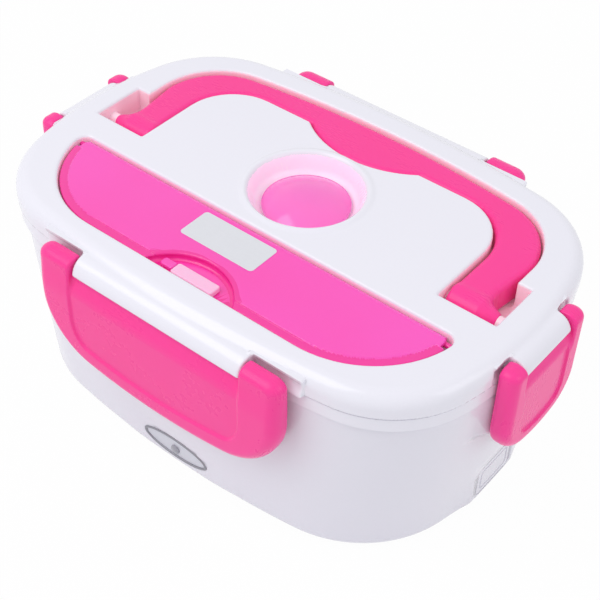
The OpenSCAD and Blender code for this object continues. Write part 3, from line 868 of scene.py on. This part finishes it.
class Paintshop:
    """Makes each finish once and gives it to the pieces."""

    def __init__(self) -> None:
        """Build the shared shader groups."""
        self.groups = {g.name: g for g in (tone_group(), haze_group(), grain_group())}
        self.made: dict[str, bpy.types.Material] = {}

    def material(self, finish: Finish) -> bpy.types.Material:
        """The material of a finish, made when first asked for."""
        if finish.name not in self.made:
            self.made[finish.name] = finish.build(self.groups)
        return self.made[finish.name]

    def tint(self, piece: Piece, finish: Finish, chosen: Field) -> None:
        """Give some faces of a piece another finish.

        Args:
            piece: The piece.
            finish: Finish of those faces.
            chosen: Says for the middles of faces, in millimetres, which they are.
        """
        piece.data.materials.append(self.material(finish))
        mesh, last = piece.data, len(piece.data.materials) - 1
        picked = chosen(*(read(mesh.polygons, "center", 3).T / MM))
        which = read(mesh.polygons, "material_index", kind=int)
        mesh.polygons.foreach_set("material_index", np.where(picked, last, which))

    def dress(self, piece: Piece, body: str, slot: Slot, nodes: Sequence[str] = (),
              finish: Finish | None = None) -> Piece:
        """Finish a piece and fix it to its body.

        Args:
            piece: The piece.
            body: Body it rides on.
            slot: Material slot of the record.
            nodes: CAD nodes it stands for.
            finish: Finish when it isn't the slot's own.

        Returns:
            The same piece.
        """
        piece.data.materials.clear()
        piece.data.materials.append(self.material(finish or slot.value))
        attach(piece, body)
        if nodes:
            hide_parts(*nodes)
        LOG.info("%s on %s, %d faces", piece.name, body, len(piece.data.polygons))
        return piece


# The pieces

@dataclass(frozen=True)
class Lid:
    """White lid with its tabs, ear notches, pockets and vent cup."""

    edge: float = 5.8
    tab_long: float = 38.8
    tab_short: float = 14.8
    notch_long: float = 60.0
    notch_short: float = 23.5
    cup: float = 22.2
    cup_deep: float = 8.5
    hole: float = 7.6
    lip: float = 7.8
    lip_low: float = 14.2
    groove: float = 2.2
    tab_out: float = 3.3
    tab_up: float = 3.8
    pocket_soft: float = 2.4
    pocket_edge: float = 1.3
    step: float = 0.8

    def carrier(self, s: Grid, out: Grid, up: Grid, half: float, low: float,
                body: Grid) -> Grid:
        """Add a latch tab to the edge.

        Args:
            s: Distance along the edge from its middle.
            out: Distance outwards from the pivot.
            up: Height above the pivot.
            half: Half length of the tab.
            low: Height of its lower edge above the pivot.
            body: The lid so far.

        Returns:
            The lid with the tab.
        """
        tab = meet(out - self.tab_out, up - self.tab_up, 6.4)
        tab = meet(tab, s - half, 1.1)
        tab = meet(tab, low - up, 0.8)
        return join(body, np.maximum(tab, -7.0 - out), 0.9)

    def solid(self, x: Grid, y: Grid, z: Grid) -> Grid:
        """Field of the lid."""
        rim = LID_OVAL.distance(x, y)
        ax, ay = np.abs(x), np.abs(y)
        up = z - PIVOT_Z
        body = meet(meet(rim, z - TOP, self.edge), SKIRT_LOW - z, 0.8)
        body = np.minimum(body, meet(np.maximum(rim + self.lip, z - TOP + 1), TOP - self.lip_low - z, 0.4))
        groove = meet(rim + self.groove, z - TOP + self.groove, 3.6)
        body = cut(body, np.maximum(groove, -rim - self.lip), 0.4)
        for s, out, half, far, low in ((ax, ay - PIVOT_Y, self.tab_long, self.notch_long, -3.0),
                                       (ay, ax - PIVOT_X, self.tab_short, self.notch_short, -2.4)):
            back = np.maximum(between(out, -7.4, -3.4), between(up, -self.tab_up, 4.0))
            body = np.minimum(body, np.maximum(back, between(s, half - 1, far - 1)))
            body = self.carrier(s, out, up, half, low, body)
            notch = meet(np.hypot(out, up) - 4.9, between(s, half, far), 0.9)
            body = cut(body, notch, 0.7)
        for outline in (spoon_outline(0), slot_outline()):
            pocket = meet(outline_distance(outline, x, y), POCKET_FLOOR - z, self.pocket_soft)
            body = cut(body, pocket, self.pocket_edge)
        rho = np.hypot(x, y - VENT_Y)
        lip = np.hypot(rho - self.cup - 1.2, z - TOP + 1.25) - 1.9
        body = join(body, lip, 0.9)
        floor = TOP - self.cup_deep
        wall = (rho - (self.cup - 3.2) - 0.376 * (z - floor)) * 0.936
        body = cut(body, meet(wall, floor - z, 3.4), 1.2)
        return np.maximum(body, self.hole - rho)

    def build(self, shop: Paintshop) -> None:
        """Make and dress the lid."""
        mould = Mould((-112.4, -77.2, 72.6), (112.4, 77.2, 90.0), self.step)
        piece = mould.cast("lid_shell_moulding", self.solid)
        shop.dress(piece, "lid", Slot.white_shell, ["lid_shell"])
        self.blush(piece, shop)

    def blush(self, piece: Piece, shop: Paintshop) -> None:
        """Paint pink bounce light, with a faint painted glow, on the vent cup and on the walls of both
        pockets, as if lit by the pink parts beside them.

        Args:
            piece: The lid.
            shop: Where the finishes come from.
        """
        # Painted pink reflection and glow on the vent cup walls.
        shop.tint(piece, Extra.cup_blush.value, lambda x, y, z: (np.hypot(x, y - VENT_Y) < self.cup + 0.3)
                  & (z < TOP - 0.4))
        # Painted pink reflection and glow on the walls of both pockets.
        for outline in (slot_outline(), spoon_outline(0)):
            shop.tint(piece, Extra.slot_blush.value, lambda x, y, z: (outline_distance(outline, x, y) < 0.6)
                      & (z < TOP - 0.7) & (np.hypot(x, y - VENT_Y) > self.cup + 0.5))


@dataclass(frozen=True)
class Latch:
    """Swinging latch drawn about its pivot: along the edge, outwards, up.

    Attributes:
        tab: Half length of the lid tab between its ears.
        half: Half length of the latch.
        corner: Radius of its lower corners.
        turn: Degrees that the bowed lower edge turns to each side.
        drop: Depth of the lower edge below the pivot.
        deep: Distance of the face outwards from the pivot.
        back: Distance of the rear edge outwards from the pivot.
        hook: Half length of the hook bar behind the face.
        ear_turn: Radius of the ears' outer top corners.
        steep: Foot of the steep plane that runs in under the tab.
        gentle: Foot of the gentle plane below it.
        sunk: Half length of the basin in the face.
        sunk_soft: Radius of the basin's rim.
        margin: Distance of the basin from the lower outline.
        dip: Depth of the basin.
        soft: Radius of the outer edges.
        crown: How far the face falls back at its ends.
        step: Step of the mesh.
        skin: Thickness of the wall where the latch is hollow.
        ear: Radius of the ears about the pivot.
        tab_gap: Gap between an ear and the tab.
        under_tab: Depth of the tab's lower edge below the pivot.
        swell_end: Depth at which the face reaches its full distance.
    """

    tab: float
    half: float
    corner: float
    turn: float
    drop: float
    deep: float
    back: float
    hook: float
    ear_turn: float
    steep: tuple[float, float]
    gentle: tuple[float, float]
    sunk: float
    sunk_soft: float
    margin: float
    dip: float
    soft: float
    crown: float
    step: float = 0.6
    skin: float = 2.0
    ear: float = 4.5
    tab_gap: float = 0.5
    under_tab: float = 3.6
    swell_end: float = 14.0

    def dee(self, a: Grid, up: Grid) -> Grid:
        """Distance to the rounded outline seen from outside.

        Args:
            a: Distance from the middle along the edge.
            up: Height above the pivot.

        Returns:
            The distances.
        """
        cx, f = self.half - self.corner, math.radians(self.turn)
        big = self.corner + cx / math.sin(f)
        by = big - self.drop
        cy = by - (big - self.corner) * math.cos(f)
        low = np.hypot(a, up - by) - big
        turn = np.arctan2(up - cy, a - cx)
        corner = np.hypot(a - cx, up - cy) - self.corner
        side = np.maximum(a - self.half, low)
        in_corner = (turn < 0) & (turn > f - math.pi / 2)
        return np.where(up > cy, side, np.where(in_corner, corner, low))

    def panel(self, out: Grid, up: Grid) -> tuple[Grid, Grid]:
        """Distances above the steep and the gentle plane of the panel that runs in under the tab."""
        def above(p: tuple[float, float], q: tuple[float, float]) -> Grid:
            """Distance above the line through two points."""
            run, drop = q[0] - p[0], p[1] - q[1]
            return ((out - p[0]) * drop + (up - p[1]) * run) / math.hypot(run, drop)

        return above((1.6, -3.4), self.steep), above(self.steep, self.gentle)

    def solid(self, s: Grid, out: Grid, up: Grid) -> Grid:
        """Field of the latch."""
        a = np.abs(s)
        dee = meet(self.dee(a, up), up - self.ear, self.ear_turn)
        face = self.deep - self.crown * (a / self.half) ** 2
        t = np.clip(-up / self.swell_end, 0.0, 1.0)
        swell = self.ear + (face - self.ear) * t * t * (3 - 2 * t)
        upper = np.where(up > 0, np.hypot(out, up) - self.ear, np.abs(out) - swell)
        body = meet(dee, upper, self.soft)
        steep, gentle = self.panel(out, up)
        under = np.maximum(up + self.under_tab, steep)
        keep = np.maximum(under, gentle)
        hollow = meet(dee + self.skin, out - face + self.skin, self.soft - self.skin)
        body = cut(body, np.maximum(np.maximum(hollow, keep + self.skin), a - self.tab + 1.5), 0.4)
        body = cut(body, meet(a - self.tab - self.tab_gap, -under, 1.2), 0.9)
        basin = meet(a - self.sunk, self.dee(a, up) + self.margin, 6.0)
        body = cut(body, meet(basin, face - self.dip - out, self.sunk_soft), self.sunk_soft)
        body = meet(body, self.back - out, 0.7)
        low = np.maximum(np.maximum(a - self.hook - 2.0, up + 16.0), out + 0.6)
        body = cut(body, low, 0.4)
        hook = np.maximum(np.maximum(a - self.hook, between(out, -0.6, 2.4)), between(up, -12.5, -10.1))
        return np.minimum(body, hook)


class Side(Enum):
    """The four latches: body name, outward direction, distance of the pivot from the middle."""

    front = ("front_latch", (0, -1), PIVOT_Y)
    back = ("back_latch", (0, 1), PIVOT_Y)
    right = ("right_latch", (1, 0), PIVOT_X)
    left = ("left_latch", (-1, 0), PIVOT_X)


@dataclass(frozen=True)
class Latches:
    """Long latches at the front and back, short ones at the ends."""

    long: Latch = Latch(
        tab=38.8, half=55.4, corner=27.0, turn=9.0, drop=46.0, deep=5.6, back=-2.4, hook=30.0, ear_turn=5.5,
        steep=(4.2, -9.0), gentle=(5.5, -37.0), sunk=39.5, sunk_soft=0.8, margin=9.0, dip=0.9, soft=4.3,
        crown=0.3)
    short: Latch = Latch(
        tab=14.8, half=22.6, corner=15.0, turn=12.0, drop=38.8, deep=4.6, back=-3.2, hook=11.0, ear_turn=3.6,
        steep=(3.6, -7.6), gentle=(4.3, -36.0), sunk=14.4, sunk_soft=0.5, margin=6.0, dip=0.8, soft=3.6,
        crown=0.2, step=0.5)

    def build(self, shop: Paintshop) -> None:
        """Make and dress the four latches."""
        for side in Side:
            body, (dx, dy), reach = side.value
            kind = self.long if dy else self.short

            def placed(x: Grid, y: Grid, z: Grid) -> Grid:
                """Field of this latch in the frame of the object."""
                s, out = (x, y * dy - reach) if dy else (y, x * dx - reach)
                return kind.solid(s, out, z - PIVOT_Z)

            ends = [kind.back - 1.5, kind.deep + 1.5]
            across = sorted((dx or dy) * (reach + v) for v in ends)
            along = [-kind.half - 1.5, kind.half + 1.5]
            wide = (along, across) if dy else (across, along)
            mould = Mould((wide[0][0], wide[1][0], PIVOT_Z - kind.drop - 1.5),
                          (wide[0][1], wide[1][1], PIVOT_Z + 6.0), kind.step)
            piece = mould.cast(f"{side.name}_latch_moulding", placed)
            shop.dress(piece, body, Slot.pink_plastic, [f"latch_{side.name}"])


@dataclass(frozen=True)
class Handle:
    """Carrying handle with a finger bump and two eyes."""

    top: float = TOP - 1.2
    low: float = TOP - 11.7
    eye: float = 5.4
    soft: float = 2.3
    wall: float = 2.4
    rib_gap: float = 18.0
    rib_half: float = 0.8
    step: float = 0.65

    def solid(self, x: Grid, y: Grid, z: Grid) -> Grid:
        """Field of the handle."""
        ax = np.abs(x)
        bow = outline_distance(bow_outline(0), x, y)
        body = meet(meet(bow, z - self.top, self.soft), self.low - z, 0.9)
        taper = self.eye - 0.42 * np.maximum(ax - 83.0, 0.0)
        eye = meet(np.hypot(y - HINGE_Y, z - HINGE_Z) - taper, between(ax, 70.5, 90.5), 1.3)
        body = join(body, eye, 1.6)
        hollow = np.maximum(np.maximum(bow + self.wall, z - self.top + self.wall), 10.5 - y)
        for rib in range(-3, 4):
            hollow = np.maximum(hollow, self.rib_half - np.abs(x - self.rib_gap * rib))
        return cut(body, hollow, 0.3)

    def build(self, shop: Paintshop) -> None:
        """Make and dress the handle."""
        mould = Mould((-92.0, -6.4, 75.0), (92.0, 58.6, 88.4), self.step)
        piece = mould.cast("handle_bow", self.solid)
        shop.dress(piece, "carry_handle", Slot.pink_plastic, ["handle"])


@dataclass(frozen=True)
class PocketCover:
    """Hinged cover of the spoon pocket with its thumb arch, tongue and bare label."""

    thick: float = 1.8
    arch: tuple[float, float] = (-67.2, 22.7)
    rim_wide: float = 3.2
    rim_end: float = -27.0
    rim_deep: float = 0.45
    knuckle: float = 2.15
    knuckle_half: float = 83.2
    step: float = 0.5

    def solid(self, x: Grid, y: Grid, z: Grid) -> Grid:
        """Field of the cover."""
        edge = outline_distance(spoon_outline(-0.6), x, y)
        high, low = TOP - 1.0, TOP - 5.4
        body = meet(meet(edge, z - high, 0.9), low - z, 0.4)
        hollow = np.maximum(edge + 1.7, z - high + self.thick)
        body = cut(body, hollow, 0.3)
        body = np.maximum(body, np.minimum(high - self.thick - z, y - COVER_Y + 3.0))
        body = np.maximum(body, y - COVER_Y)
        body = np.maximum(body, np.minimum(np.abs(x) - 83.8, y - COVER_Y + 3.6))
        rho = np.hypot(x, y - self.arch[0])
        shelf = np.maximum(np.maximum(rho - self.arch[1] - 1.6, edge), between(z, low, TOP - 2.0))
        body = np.minimum(body, shelf)
        body = cut(body, meet(rho - self.arch[1], TOP - 4.0 - z, 1.2), 0.8)
        knuckle = np.hypot(y - COVER_Y, z - COVER_Z) - self.knuckle
        knuckle = np.maximum(knuckle, np.abs(x) - self.knuckle_half)
        body = join(body, knuckle, 0.3)
        rim = np.maximum(np.maximum(-self.rim_wide - edge, high - self.rim_deep - z), y - self.rim_end)
        return cut(body, rim, 0.35)

    def build(self, shop: Paintshop) -> None:
        """Make and dress the cover and what it carries."""
        mould = Mould((-87.8, -57.8, 82.0), (87.8, -20.2, 87.7), self.step)
        piece = mould.cast("pocket_cover_moulding", self.solid)
        shop.dress(piece, "pocket_cover", Slot.cover_plastic, ["spoon_cover"])

        def in_rim_shade(x: Grid, y: Grid, z: Grid) -> Grid:
            """Whether a place lies on the front rim or on the edge of the thumb arch, where darker pink is
            painted as shade.
            """
            rim = (outline_distance(spoon_outline(-0.6), x, y) > 0.1 - self.rim_wide) & (y < self.rim_end)
            arch = np.abs(np.hypot(x, y - self.arch[0]) - self.arch[1] - 0.5) < 1.9
            return rim | arch & (z < TOP - 0.9)

        # Paint the front rim and the arch edge darker, as painted shade.
        shop.tint(piece, Extra.cover_rim.value, in_rim_shade)

        def block(x: Grid, y: Grid, z: Grid, box: Sequence[float]) -> Grid:
            """Field of a small rounded block."""
            flat = meet(between(x, box[0], box[1]), between(y, box[2], box[3]), 1.0)
            return meet(flat, between(z, box[4], box[5]), 0.6)

        tongue = Mould((-10.5, -57.5, 83.2), (11.5, -50.0, 87.5), 0.35)
        pad = (-9, 10, -56.4, -51, TOP - 4, TOP - 1.5)
        piece = tongue.cast("thumb_tongue", lambda x, y, z: block(x, y, z, pad))
        shop.dress(piece, "pocket_cover", Slot.tongue_plastic, ["cover_tongue"])
        stop = Mould((-17.0, -56.0, 83.2), (-8.4, -49.5, 86.8), 0.35)
        tab = (-15.5, -9.6, -54.6, -51, TOP - 4, TOP - 2.3)
        piece = stop.cast("tongue_stop", lambda x, y, z: block(x, y, z, tab))
        shop.dress(piece, "pocket_cover", Slot.cover_plastic)
        self.label(shop)

    def label(self, shop: Paintshop) -> None:
        """Make and dress the bare label on the cover."""
        outline = rounded((-20.1, -39.4), (13.6, -24.6), 1.5, 6)
        piece = prism("bare_label", outline, TOP - 1.02, TOP - 0.86, Matrix.Identity(4))
        soften(piece, 0.05, 2)
        shop.dress(piece, "pocket_cover", Slot.cover_plastic, finish=Extra.label_film.value)


def soften(piece: Piece, width: float, segments: int) -> None:
    """Round the sharp edges of a piece.

    Args:
        piece: The piece.
        width: Width of the rounding in millimetres.
        segments: Steps across it.
    """
    bevel = piece.modifiers.new("soft_edges", "BEVEL")
    bevel.width, bevel.segments = width * MM, segments
    bevel.limit_method, bevel.angle_limit = "ANGLE", math.radians(35)
    weigh_normals(piece)


@dataclass(frozen=True)
class Vent:
    """Domed plug in the vent cup."""

    base: float = TOP - 7.6

    def build(self, shop: Paintshop) -> None:
        """Make and dress the plug."""
        rim = arc((16.2, self.base + 0.8), 0.8, -60, 50, 5)
        dome = arc((0, self.base - 23.0), 29.4, 55.5, 90, 22)
        inner = arc((0, self.base - 23.0), 27.6, 90, 78.5, 6)
        stem = [(5.5, self.base - 5.0), (5.9, self.base - 5.4), (7.1, self.base - 5.4),
                (7.5, self.base - 5.0), (7.5, self.base - 0.2), (7.9, self.base), (15.9, self.base)]
        dome[-1], inner[0] = (0.0, dome[-1][1]), (0.0, inner[0][1])
        section = inner + stem + rim + dome
        piece = lathe("vent_plug_dome", section, (0, VENT_Y))
        weigh_normals(piece)
        shop.dress(piece, "vent", Slot.plug_plastic, ["vent_plug"])


@dataclass(frozen=True)
class Spoon:
    """Spoon that lies in the pocket."""

    bowl: tuple[float, float] = (-42.0, -40.0)
    low: float = TOP - 12.1
    ball: float = 70.0
    thick: float = 1.7
    half: float = 27.0
    wide: float = 13.5

    def solid(self, x: Grid, y: Grid, z: Grid) -> Grid:
        """Field of the spoon."""
        bx, by = x - self.bowl[0], y - self.bowl[1]
        ball = np.sqrt(bx ** 2 + by ** 2 + (z - self.low - self.ball) ** 2)
        oval = (np.sqrt((bx / self.half) ** 2 + (by / self.wide) ** 2) - 1.0) * self.wide
        bowl = meet(meet(ball - self.ball, self.ball - self.thick - ball, 0.5), oval, 0.5)
        neck = outline_distance([(-19.0, -43.2), (8.0, -41.5), (66.0, -42.5), (69.0, -41.0), (70.0, -38.0),
                                 (69.0, -35.0), (66.0, -33.5), (8.0, -37.5), (-19.0, -36.8)], x, y)
        handle = meet(neck, between(z, TOP - 8.1, TOP - 5.95), 0.8)
        return join(bowl, handle, 1.2)

    def build(self, shop: Paintshop) -> None:
        """Make and dress the spoon."""
        mould = Mould((-70.5, -55.0, self.low - 0.7), (71.5, -25.4, TOP - 5.0), 0.55)
        piece = mould.cast("spoon_moulding", self.solid)
        shop.dress(piece, "spoon", Slot.pink_plastic, ["spoon"])


@dataclass(frozen=True)
class Base:
    """Base shell with flat places for the lamp, the inlet and the end latches, and what it carries."""

    wall: float = 2.2
    foot: float = 5.0
    lamp_half: float = 19.5
    lamp_high: float = 16.5
    inlet_half: float = 13.0
    inlet_high: float = 19.5
    inlet_x: float = 98.3
    plate_x: float = 103.6
    lamp_back: float = 66.3
    lens_r: float = 2.05

    def outline(self, z: float) -> Oval:
        """Outline of the wall at a height."""
        t = (BAND_LOW - z) / 65.0
        return Oval(104.3 - 6.1 * t, 69.2 - 0.8 * t, 45.0 + 3.0 * t, 8.0, 13.0)

    def ring(self, z: float, d: float, level: float) -> Grid:
        """Ring of points.

        Args:
            z: Height whose outline is used.
            d: Distance from that outline.
            level: Height of the points.

        Returns:
            Array of points.
        """
        flat = self.outline(z).ring(d)
        return np.column_stack([flat, np.full(len(flat), level)])

    def flatten(self, p: Grid) -> Grid:
        """Press the flat places into the outer wall.

        Args:
            p: Points of the outer wall.

        Returns:
            The moved points.
        """
        def mask(v: Grid, limit: float, soft: float) -> Grid:
            """One inside a limit, falling smoothly to zero over a soft edge."""
            t = np.clip((limit + soft - v) / soft, 0, 1)
            return t * t * (3 - 2 * t)

        x, y, z = p.T
        front = mask(np.abs(x), self.lamp_half - 2, 9.0) * mask(z, self.lamp_high - 1, 8.0)
        front = front * (y < -40) * mask(-z, -5.0, 3.5)
        y = y + front * (LAMP_Y - y)
        side = mask(np.abs(y), self.inlet_half - 1, 9.0) * mask(z, self.inlet_high, 6.0)
        side = side * (x > 80) * mask(-z, -4.5, 3.0)
        x = x + side * (self.inlet_x - x)
        plate = mask(np.abs(y), 21.0, 1.6) * mask(BAND_LOW - z, 20.0, 2.0) * (np.abs(x) > 80)
        x = x + plate * np.sign(x) * np.maximum(self.plate_x - np.abs(x), 0)
        return np.column_stack([x, y, z])

    def build(self, shop: Paintshop) -> None:
        """Make and dress the shell, the lamp panel and the inlet."""
        cad = Oval(104.3, 69.2, 45.0, 8.0, 13.0)
        inner = cad.ring(-16.0)
        rings = [np.column_stack([inner, np.full(len(inner), FLOOR_Z)])]
        for a in np.radians(np.linspace(270, 360, 11)):
            rings.append(self.ring(6.0, -self.foot + self.foot * math.cos(a), 6.0 + self.foot * math.sin(a)))
        close = {7.5, 9.0, 11.0, 13.0, 15.0, 16.2, 17.4, 18.6, 19.8, 21.0, 22.2, 23.4, 24.8,
                 50.0, 51.0, 52.0, 53.0}
        heights = sorted(close | set(np.arange(27.0, 72.0, 2.5)))
        rings += [self.ring(z, 0.0, z) for z in heights]
        rings = [rings[0]] + [self.flatten(r) for r in rings[1:]]
        rings += [self.ring(72.0, -0.05, 72.1), self.ring(72.3, -0.4, BAND_LOW),
                  self.ring(72.3, -self.wall, BAND_LOW)]
        rings += [self.ring(z, -self.wall, z) for z in (60.0, 45.0, 30.0, 18.0, 9.0)]
        for a in np.radians(np.linspace(350, 280, 6)):
            rings.append(self.ring(6.0, -self.foot + 2.8 * math.cos(a), 6.0 + 2.8 * math.sin(a)))
        rings.append(np.column_stack([inner, np.full(len(inner), FLOOR_Z + self.wall)]))
        piece = lay("base_shell_moulding", *tube(rings))
        lamp = prism("lamp_recess", ellipse((0, LAMP_Z), 15.9, 5.2, 71), self.lamp_back, 75.0, UPRIGHT)
        door = rounded((-10.9, INLET_Z - 6.9), (10.9, INLET_Z + 6.9), 2.0, 5)
        carve(piece, [lamp, prism("inlet_hole", door, 88.0, 110.0, SIDEWAYS)])
        weigh_normals(piece)
        # The base shell takes the darker painted-shade copy of the gloss white.
        shop.dress(piece, "base", Slot.white_shell, ["base_shell"], finish=Extra.base_white.value)
        self.lamp_panel(shop)
        self.inlet(shop)

    def inlet(self, shop: Paintshop) -> None:
        """Make and dress the power inlet, closed flush by its shutter, and its two pins behind that."""
        def closed(x: Grid, y: Grid, z: Grid) -> Grid:
            """Field of the inlet body with a fine line around the shutter."""
            front = meet(np.abs(y) - 10.7, np.abs(z - INLET_Z) - 6.7, 1.8)
            box = meet(front, between(x, 88.0, self.inlet_x), 0.3)
            edge = meet(np.abs(y) - 8.6, np.abs(z - INLET_Z) - 4.6, 1.6)
            return cut(box, np.maximum(np.abs(edge) - 0.3, self.inlet_x - 0.45 - x), 0.1)

        mould = Mould((87.0, -11.6, 4.4), (99.8, 11.6, 19.6), 0.4)
        piece = mould.cast("inlet_body", closed)
        # The inlet body takes the same painted-shade copy of the white.
        shop.dress(piece, "base", Slot.white_inner, ["power_inlet"], finish=Extra.base_white.value)
        pins = Mould((80.5, -7.0, 10.0), (97.5, 7.0, 14.0), 0.35)
        piece = pins.cast("inlet_pin_pair", lambda x, y, z: meet(
            np.hypot(np.abs(y) - 5.0, z - INLET_Z) - 1.14, between(x, 81.5, 96.5), 0.5))
        shop.dress(piece, "base", Slot.brass, ["inlet_pins"])

    def lamp_panel(self, shop: Paintshop) -> None:
        """Make and dress the oval lamp panel, its ring and its lens."""
        plate = prism("lamp_plate", ellipse((0, LAMP_Z), 15.0, 4.3, 96), self.lamp_back, 67.45, UPRIGHT)
        soften(plate, 0.12, 2)
        shop.dress(plate, "base", Slot.silver_panel, ["lamp_bezel"], finish=Extra.lamp_plate.value)
        section = [(0.0, self.lamp_back), (0.0, 67.6), (0.2, 67.85), (0.6, 67.95),
                   (1.0, 67.85), (1.25, 67.6), (1.25, self.lamp_back)]
        rings = []
        for inset, depth in section:
            flat = ellipse((0, LAMP_Z), 15.8 - inset, 5.1 - inset, 96)
            rings.append(np.array([UPRIGHT @ Vector((u, v, depth)) for u, v in flat]))
        ring = lay("lamp_ring", *tube(rings))
        weigh_normals(ring)
        shop.dress(ring, "base", Slot.silver_panel, finish=Extra.ring_grey.value)
        r = self.lens_r
        dome = [(r * math.cos(a), 67.75 + 0.75 * math.sin(a)) for a in np.radians(np.linspace(10, 80, 8))]
        rows = []
        for wide, depth in [(r, 66.4), (r, 67.7)] + dome:
            flat = ellipse((0, LAMP_Z - 0.9), wide, wide, 48)
            rows.append(np.array([UPRIGHT @ Vector((u, v, depth)) for u, v in flat]))
        points, faces = tube(rows)
        n, last = len(rows[0]), len(rows) - 1
        ends = [list(range(n))[::-1], list(range(last * n, (last + 1) * n))]
        lens = lay("lamp_lens_dome", points, faces[:last * n] + ends)
        weigh_normals(lens)
        shop.dress(lens, "base", Slot.clear_lens, ["lamp_lens"])


class Works:
    """CAD parts that keep their shape and take a finish."""

    # The handle pins take the slot walls' painted pink bounce and glow; the cover pins take the cover rim's
    # painted shade.
    MOULDED: dict[str, Extra] = {"handle_pins": Extra.slot_blush, "cover_pins": Extra.cover_rim}

    def build(self, shop: Paintshop) -> None:
        """Give each CAD part that is shown the finish of its slot."""
        for name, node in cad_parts.items():
            for place in node.material_slots:
                stem = place.material.name.split(".")[0] if place.material else ""
                look = self.MOULDED.get(name) or Slot.__members__.get(stem, Slot.white_inner)
                place.material = shop.material(look.value)
            LOG.info("cad part %s finished", name)


@dataclass(frozen=True)
class Studio:
    """Camera, floor, backdrop and lamps."""

    eye: tuple[float, float, float] = (0.23239, -0.29459, 0.3878)
    aim: tuple[float, float, float] = (0.03588, -0.04014, 0.088)
    roll: float = 1.88
    lens: float = 78.47
    ambient: float = 0.68

    def camera(self) -> None:
        """Place the camera at the photograph's angle."""
        data = bpy.data.cameras.new("studio_camera")
        data.lens, data.sensor_width, data.sensor_fit = self.lens, 36.0, "HORIZONTAL"
        data.clip_start = 0.01
        camera = put("studio_camera", data)
        forward = (Vector(self.aim) - Vector(self.eye)).normalized()
        right = forward.cross(Vector((0, 0, 1))).normalized()
        up = right.cross(forward)
        turn = math.radians(self.roll)
        right, up = right * math.cos(turn) + up * math.sin(turn), up * math.cos(turn) - right * math.sin(turn)
        frame_axes = Matrix((right, up, -forward)).transposed().to_4x4()
        camera.matrix_world = Matrix.Translation(self.eye) @ frame_axes
        bpy.context.scene.camera = camera

    def lamp(self, name: str, place: tuple[float, float, float], size: float, watts: float,
             tint: Colour) -> None:
        """Add a soft square lamp aimed at the object.

        Args:
            name: Name of the lamp.
            place: Where it stands, in metres.
            size: Side of its square, in metres.
            watts: Its power.
            tint: Its colour.
        """
        data = bpy.data.lights.new(name, "AREA")
        data.size, data.energy, data.color = size, watts, tint
        light = put(name, data)
        light.location = place
        light.rotation_euler = (Vector((0, 0, 0.06)) - Vector(place)).to_track_quat("-Z", "Y").to_euler()

    def seen(self, tree: Tree) -> Socket:
        """One for camera, glossy and transmission rays, and nought for the rest."""
        path = tree.nodes.new("ShaderNodeLightPath")
        total = path.outputs["Is Camera Ray"]
        for label in ("Is Glossy Ray", "Is Transmission Ray"):
            larger = tree.nodes.new("ShaderNodeMath")
            larger.operation = "MAXIMUM"
            tree.links.new(total, larger.inputs[0])
            tree.links.new(path.outputs[label], larger.inputs[1])
            total = larger.outputs[0]
        return total

    def floor(self) -> None:
        """Lay the pale floor, which the camera sees close to white."""
        points = [(x, y, 0) for x, y in ellipse((0, 0), 3000, 3000, 64)]
        piece = lay("studio_floor", np.array(points), [list(range(64))])
        material = bpy.data.materials.new("pale_floor")
        material.use_nodes = True
        tree = material.node_tree
        shader = tree.nodes["Principled BSDF"]
        fill(shader, {"Base Color": (0.86, 0.86, 0.88, 1), "Roughness": 0.9, "Specular IOR Level": 0.1})
        glow = tree.nodes.new("ShaderNodeEmission")
        glow.inputs["Strength"].default_value = 1.0
        share = tree.nodes.new("ShaderNodeMath")
        share.operation = "MULTIPLY"
        share.inputs[1].default_value = 0.97
        tree.links.new(self.seen(tree), share.inputs[0])
        mix = tree.nodes.new("ShaderNodeMixShader")
        tree.links.new(share.outputs[0], mix.inputs[0])
        tree.links.new(shader.outputs[0], mix.inputs[1])
        tree.links.new(glow.outputs[0], mix.inputs[2])
        tree.links.new(mix.outputs[0], tree.nodes["Material Output"].inputs["Surface"])
        piece.data.materials.append(material)

    def backdrop(self) -> None:
        """Light the room evenly, with a white view behind the object."""
        world = bpy.data.worlds.new("studio_room")
        bpy.context.scene.world = world
        world.use_nodes = True
        tree = world.node_tree
        sky = tree.nodes["Background"]
        level = tree.nodes.new("ShaderNodeMapRange")
        fill(level, {"To Min": self.ambient, "To Max": 1.0})
        tree.links.new(self.seen(tree), level.inputs["Value"])
        tree.links.new(level.outputs["Result"], sky.inputs["Strength"])
        sky.inputs["Color"].default_value = (1.0, 1.0, 1.0, 1)

    def build(self) -> None:
        """Set up the whole studio."""
        self.camera()
        self.floor()
        self.backdrop()
        self.lamp("key_lamp", (-0.35, -0.6, 0.95), 0.8, 4.6, (1.0, 0.99, 1.0))
        self.lamp("side_lamp", (0.95, 0.2, 0.7), 0.6, 1.6, (0.99, 0.98, 1.0))
        view = bpy.context.scene.view_settings
        view.view_transform = "Standard"


def main() -> None:
    """Build the studio and every piece."""
    logging.basicConfig(level=logging.INFO, format="%(name)s: %(message)s")
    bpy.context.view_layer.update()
    Studio().build()
    shop = Paintshop()
    for part in (Works(), Lid(), Base(), Latches(), Handle(), PocketCover(), Vent(), Spoon()):
        part.build(shop)
        LOG.info("%s done", type(part).__name__)


if __name__ == "__main__":
    main()
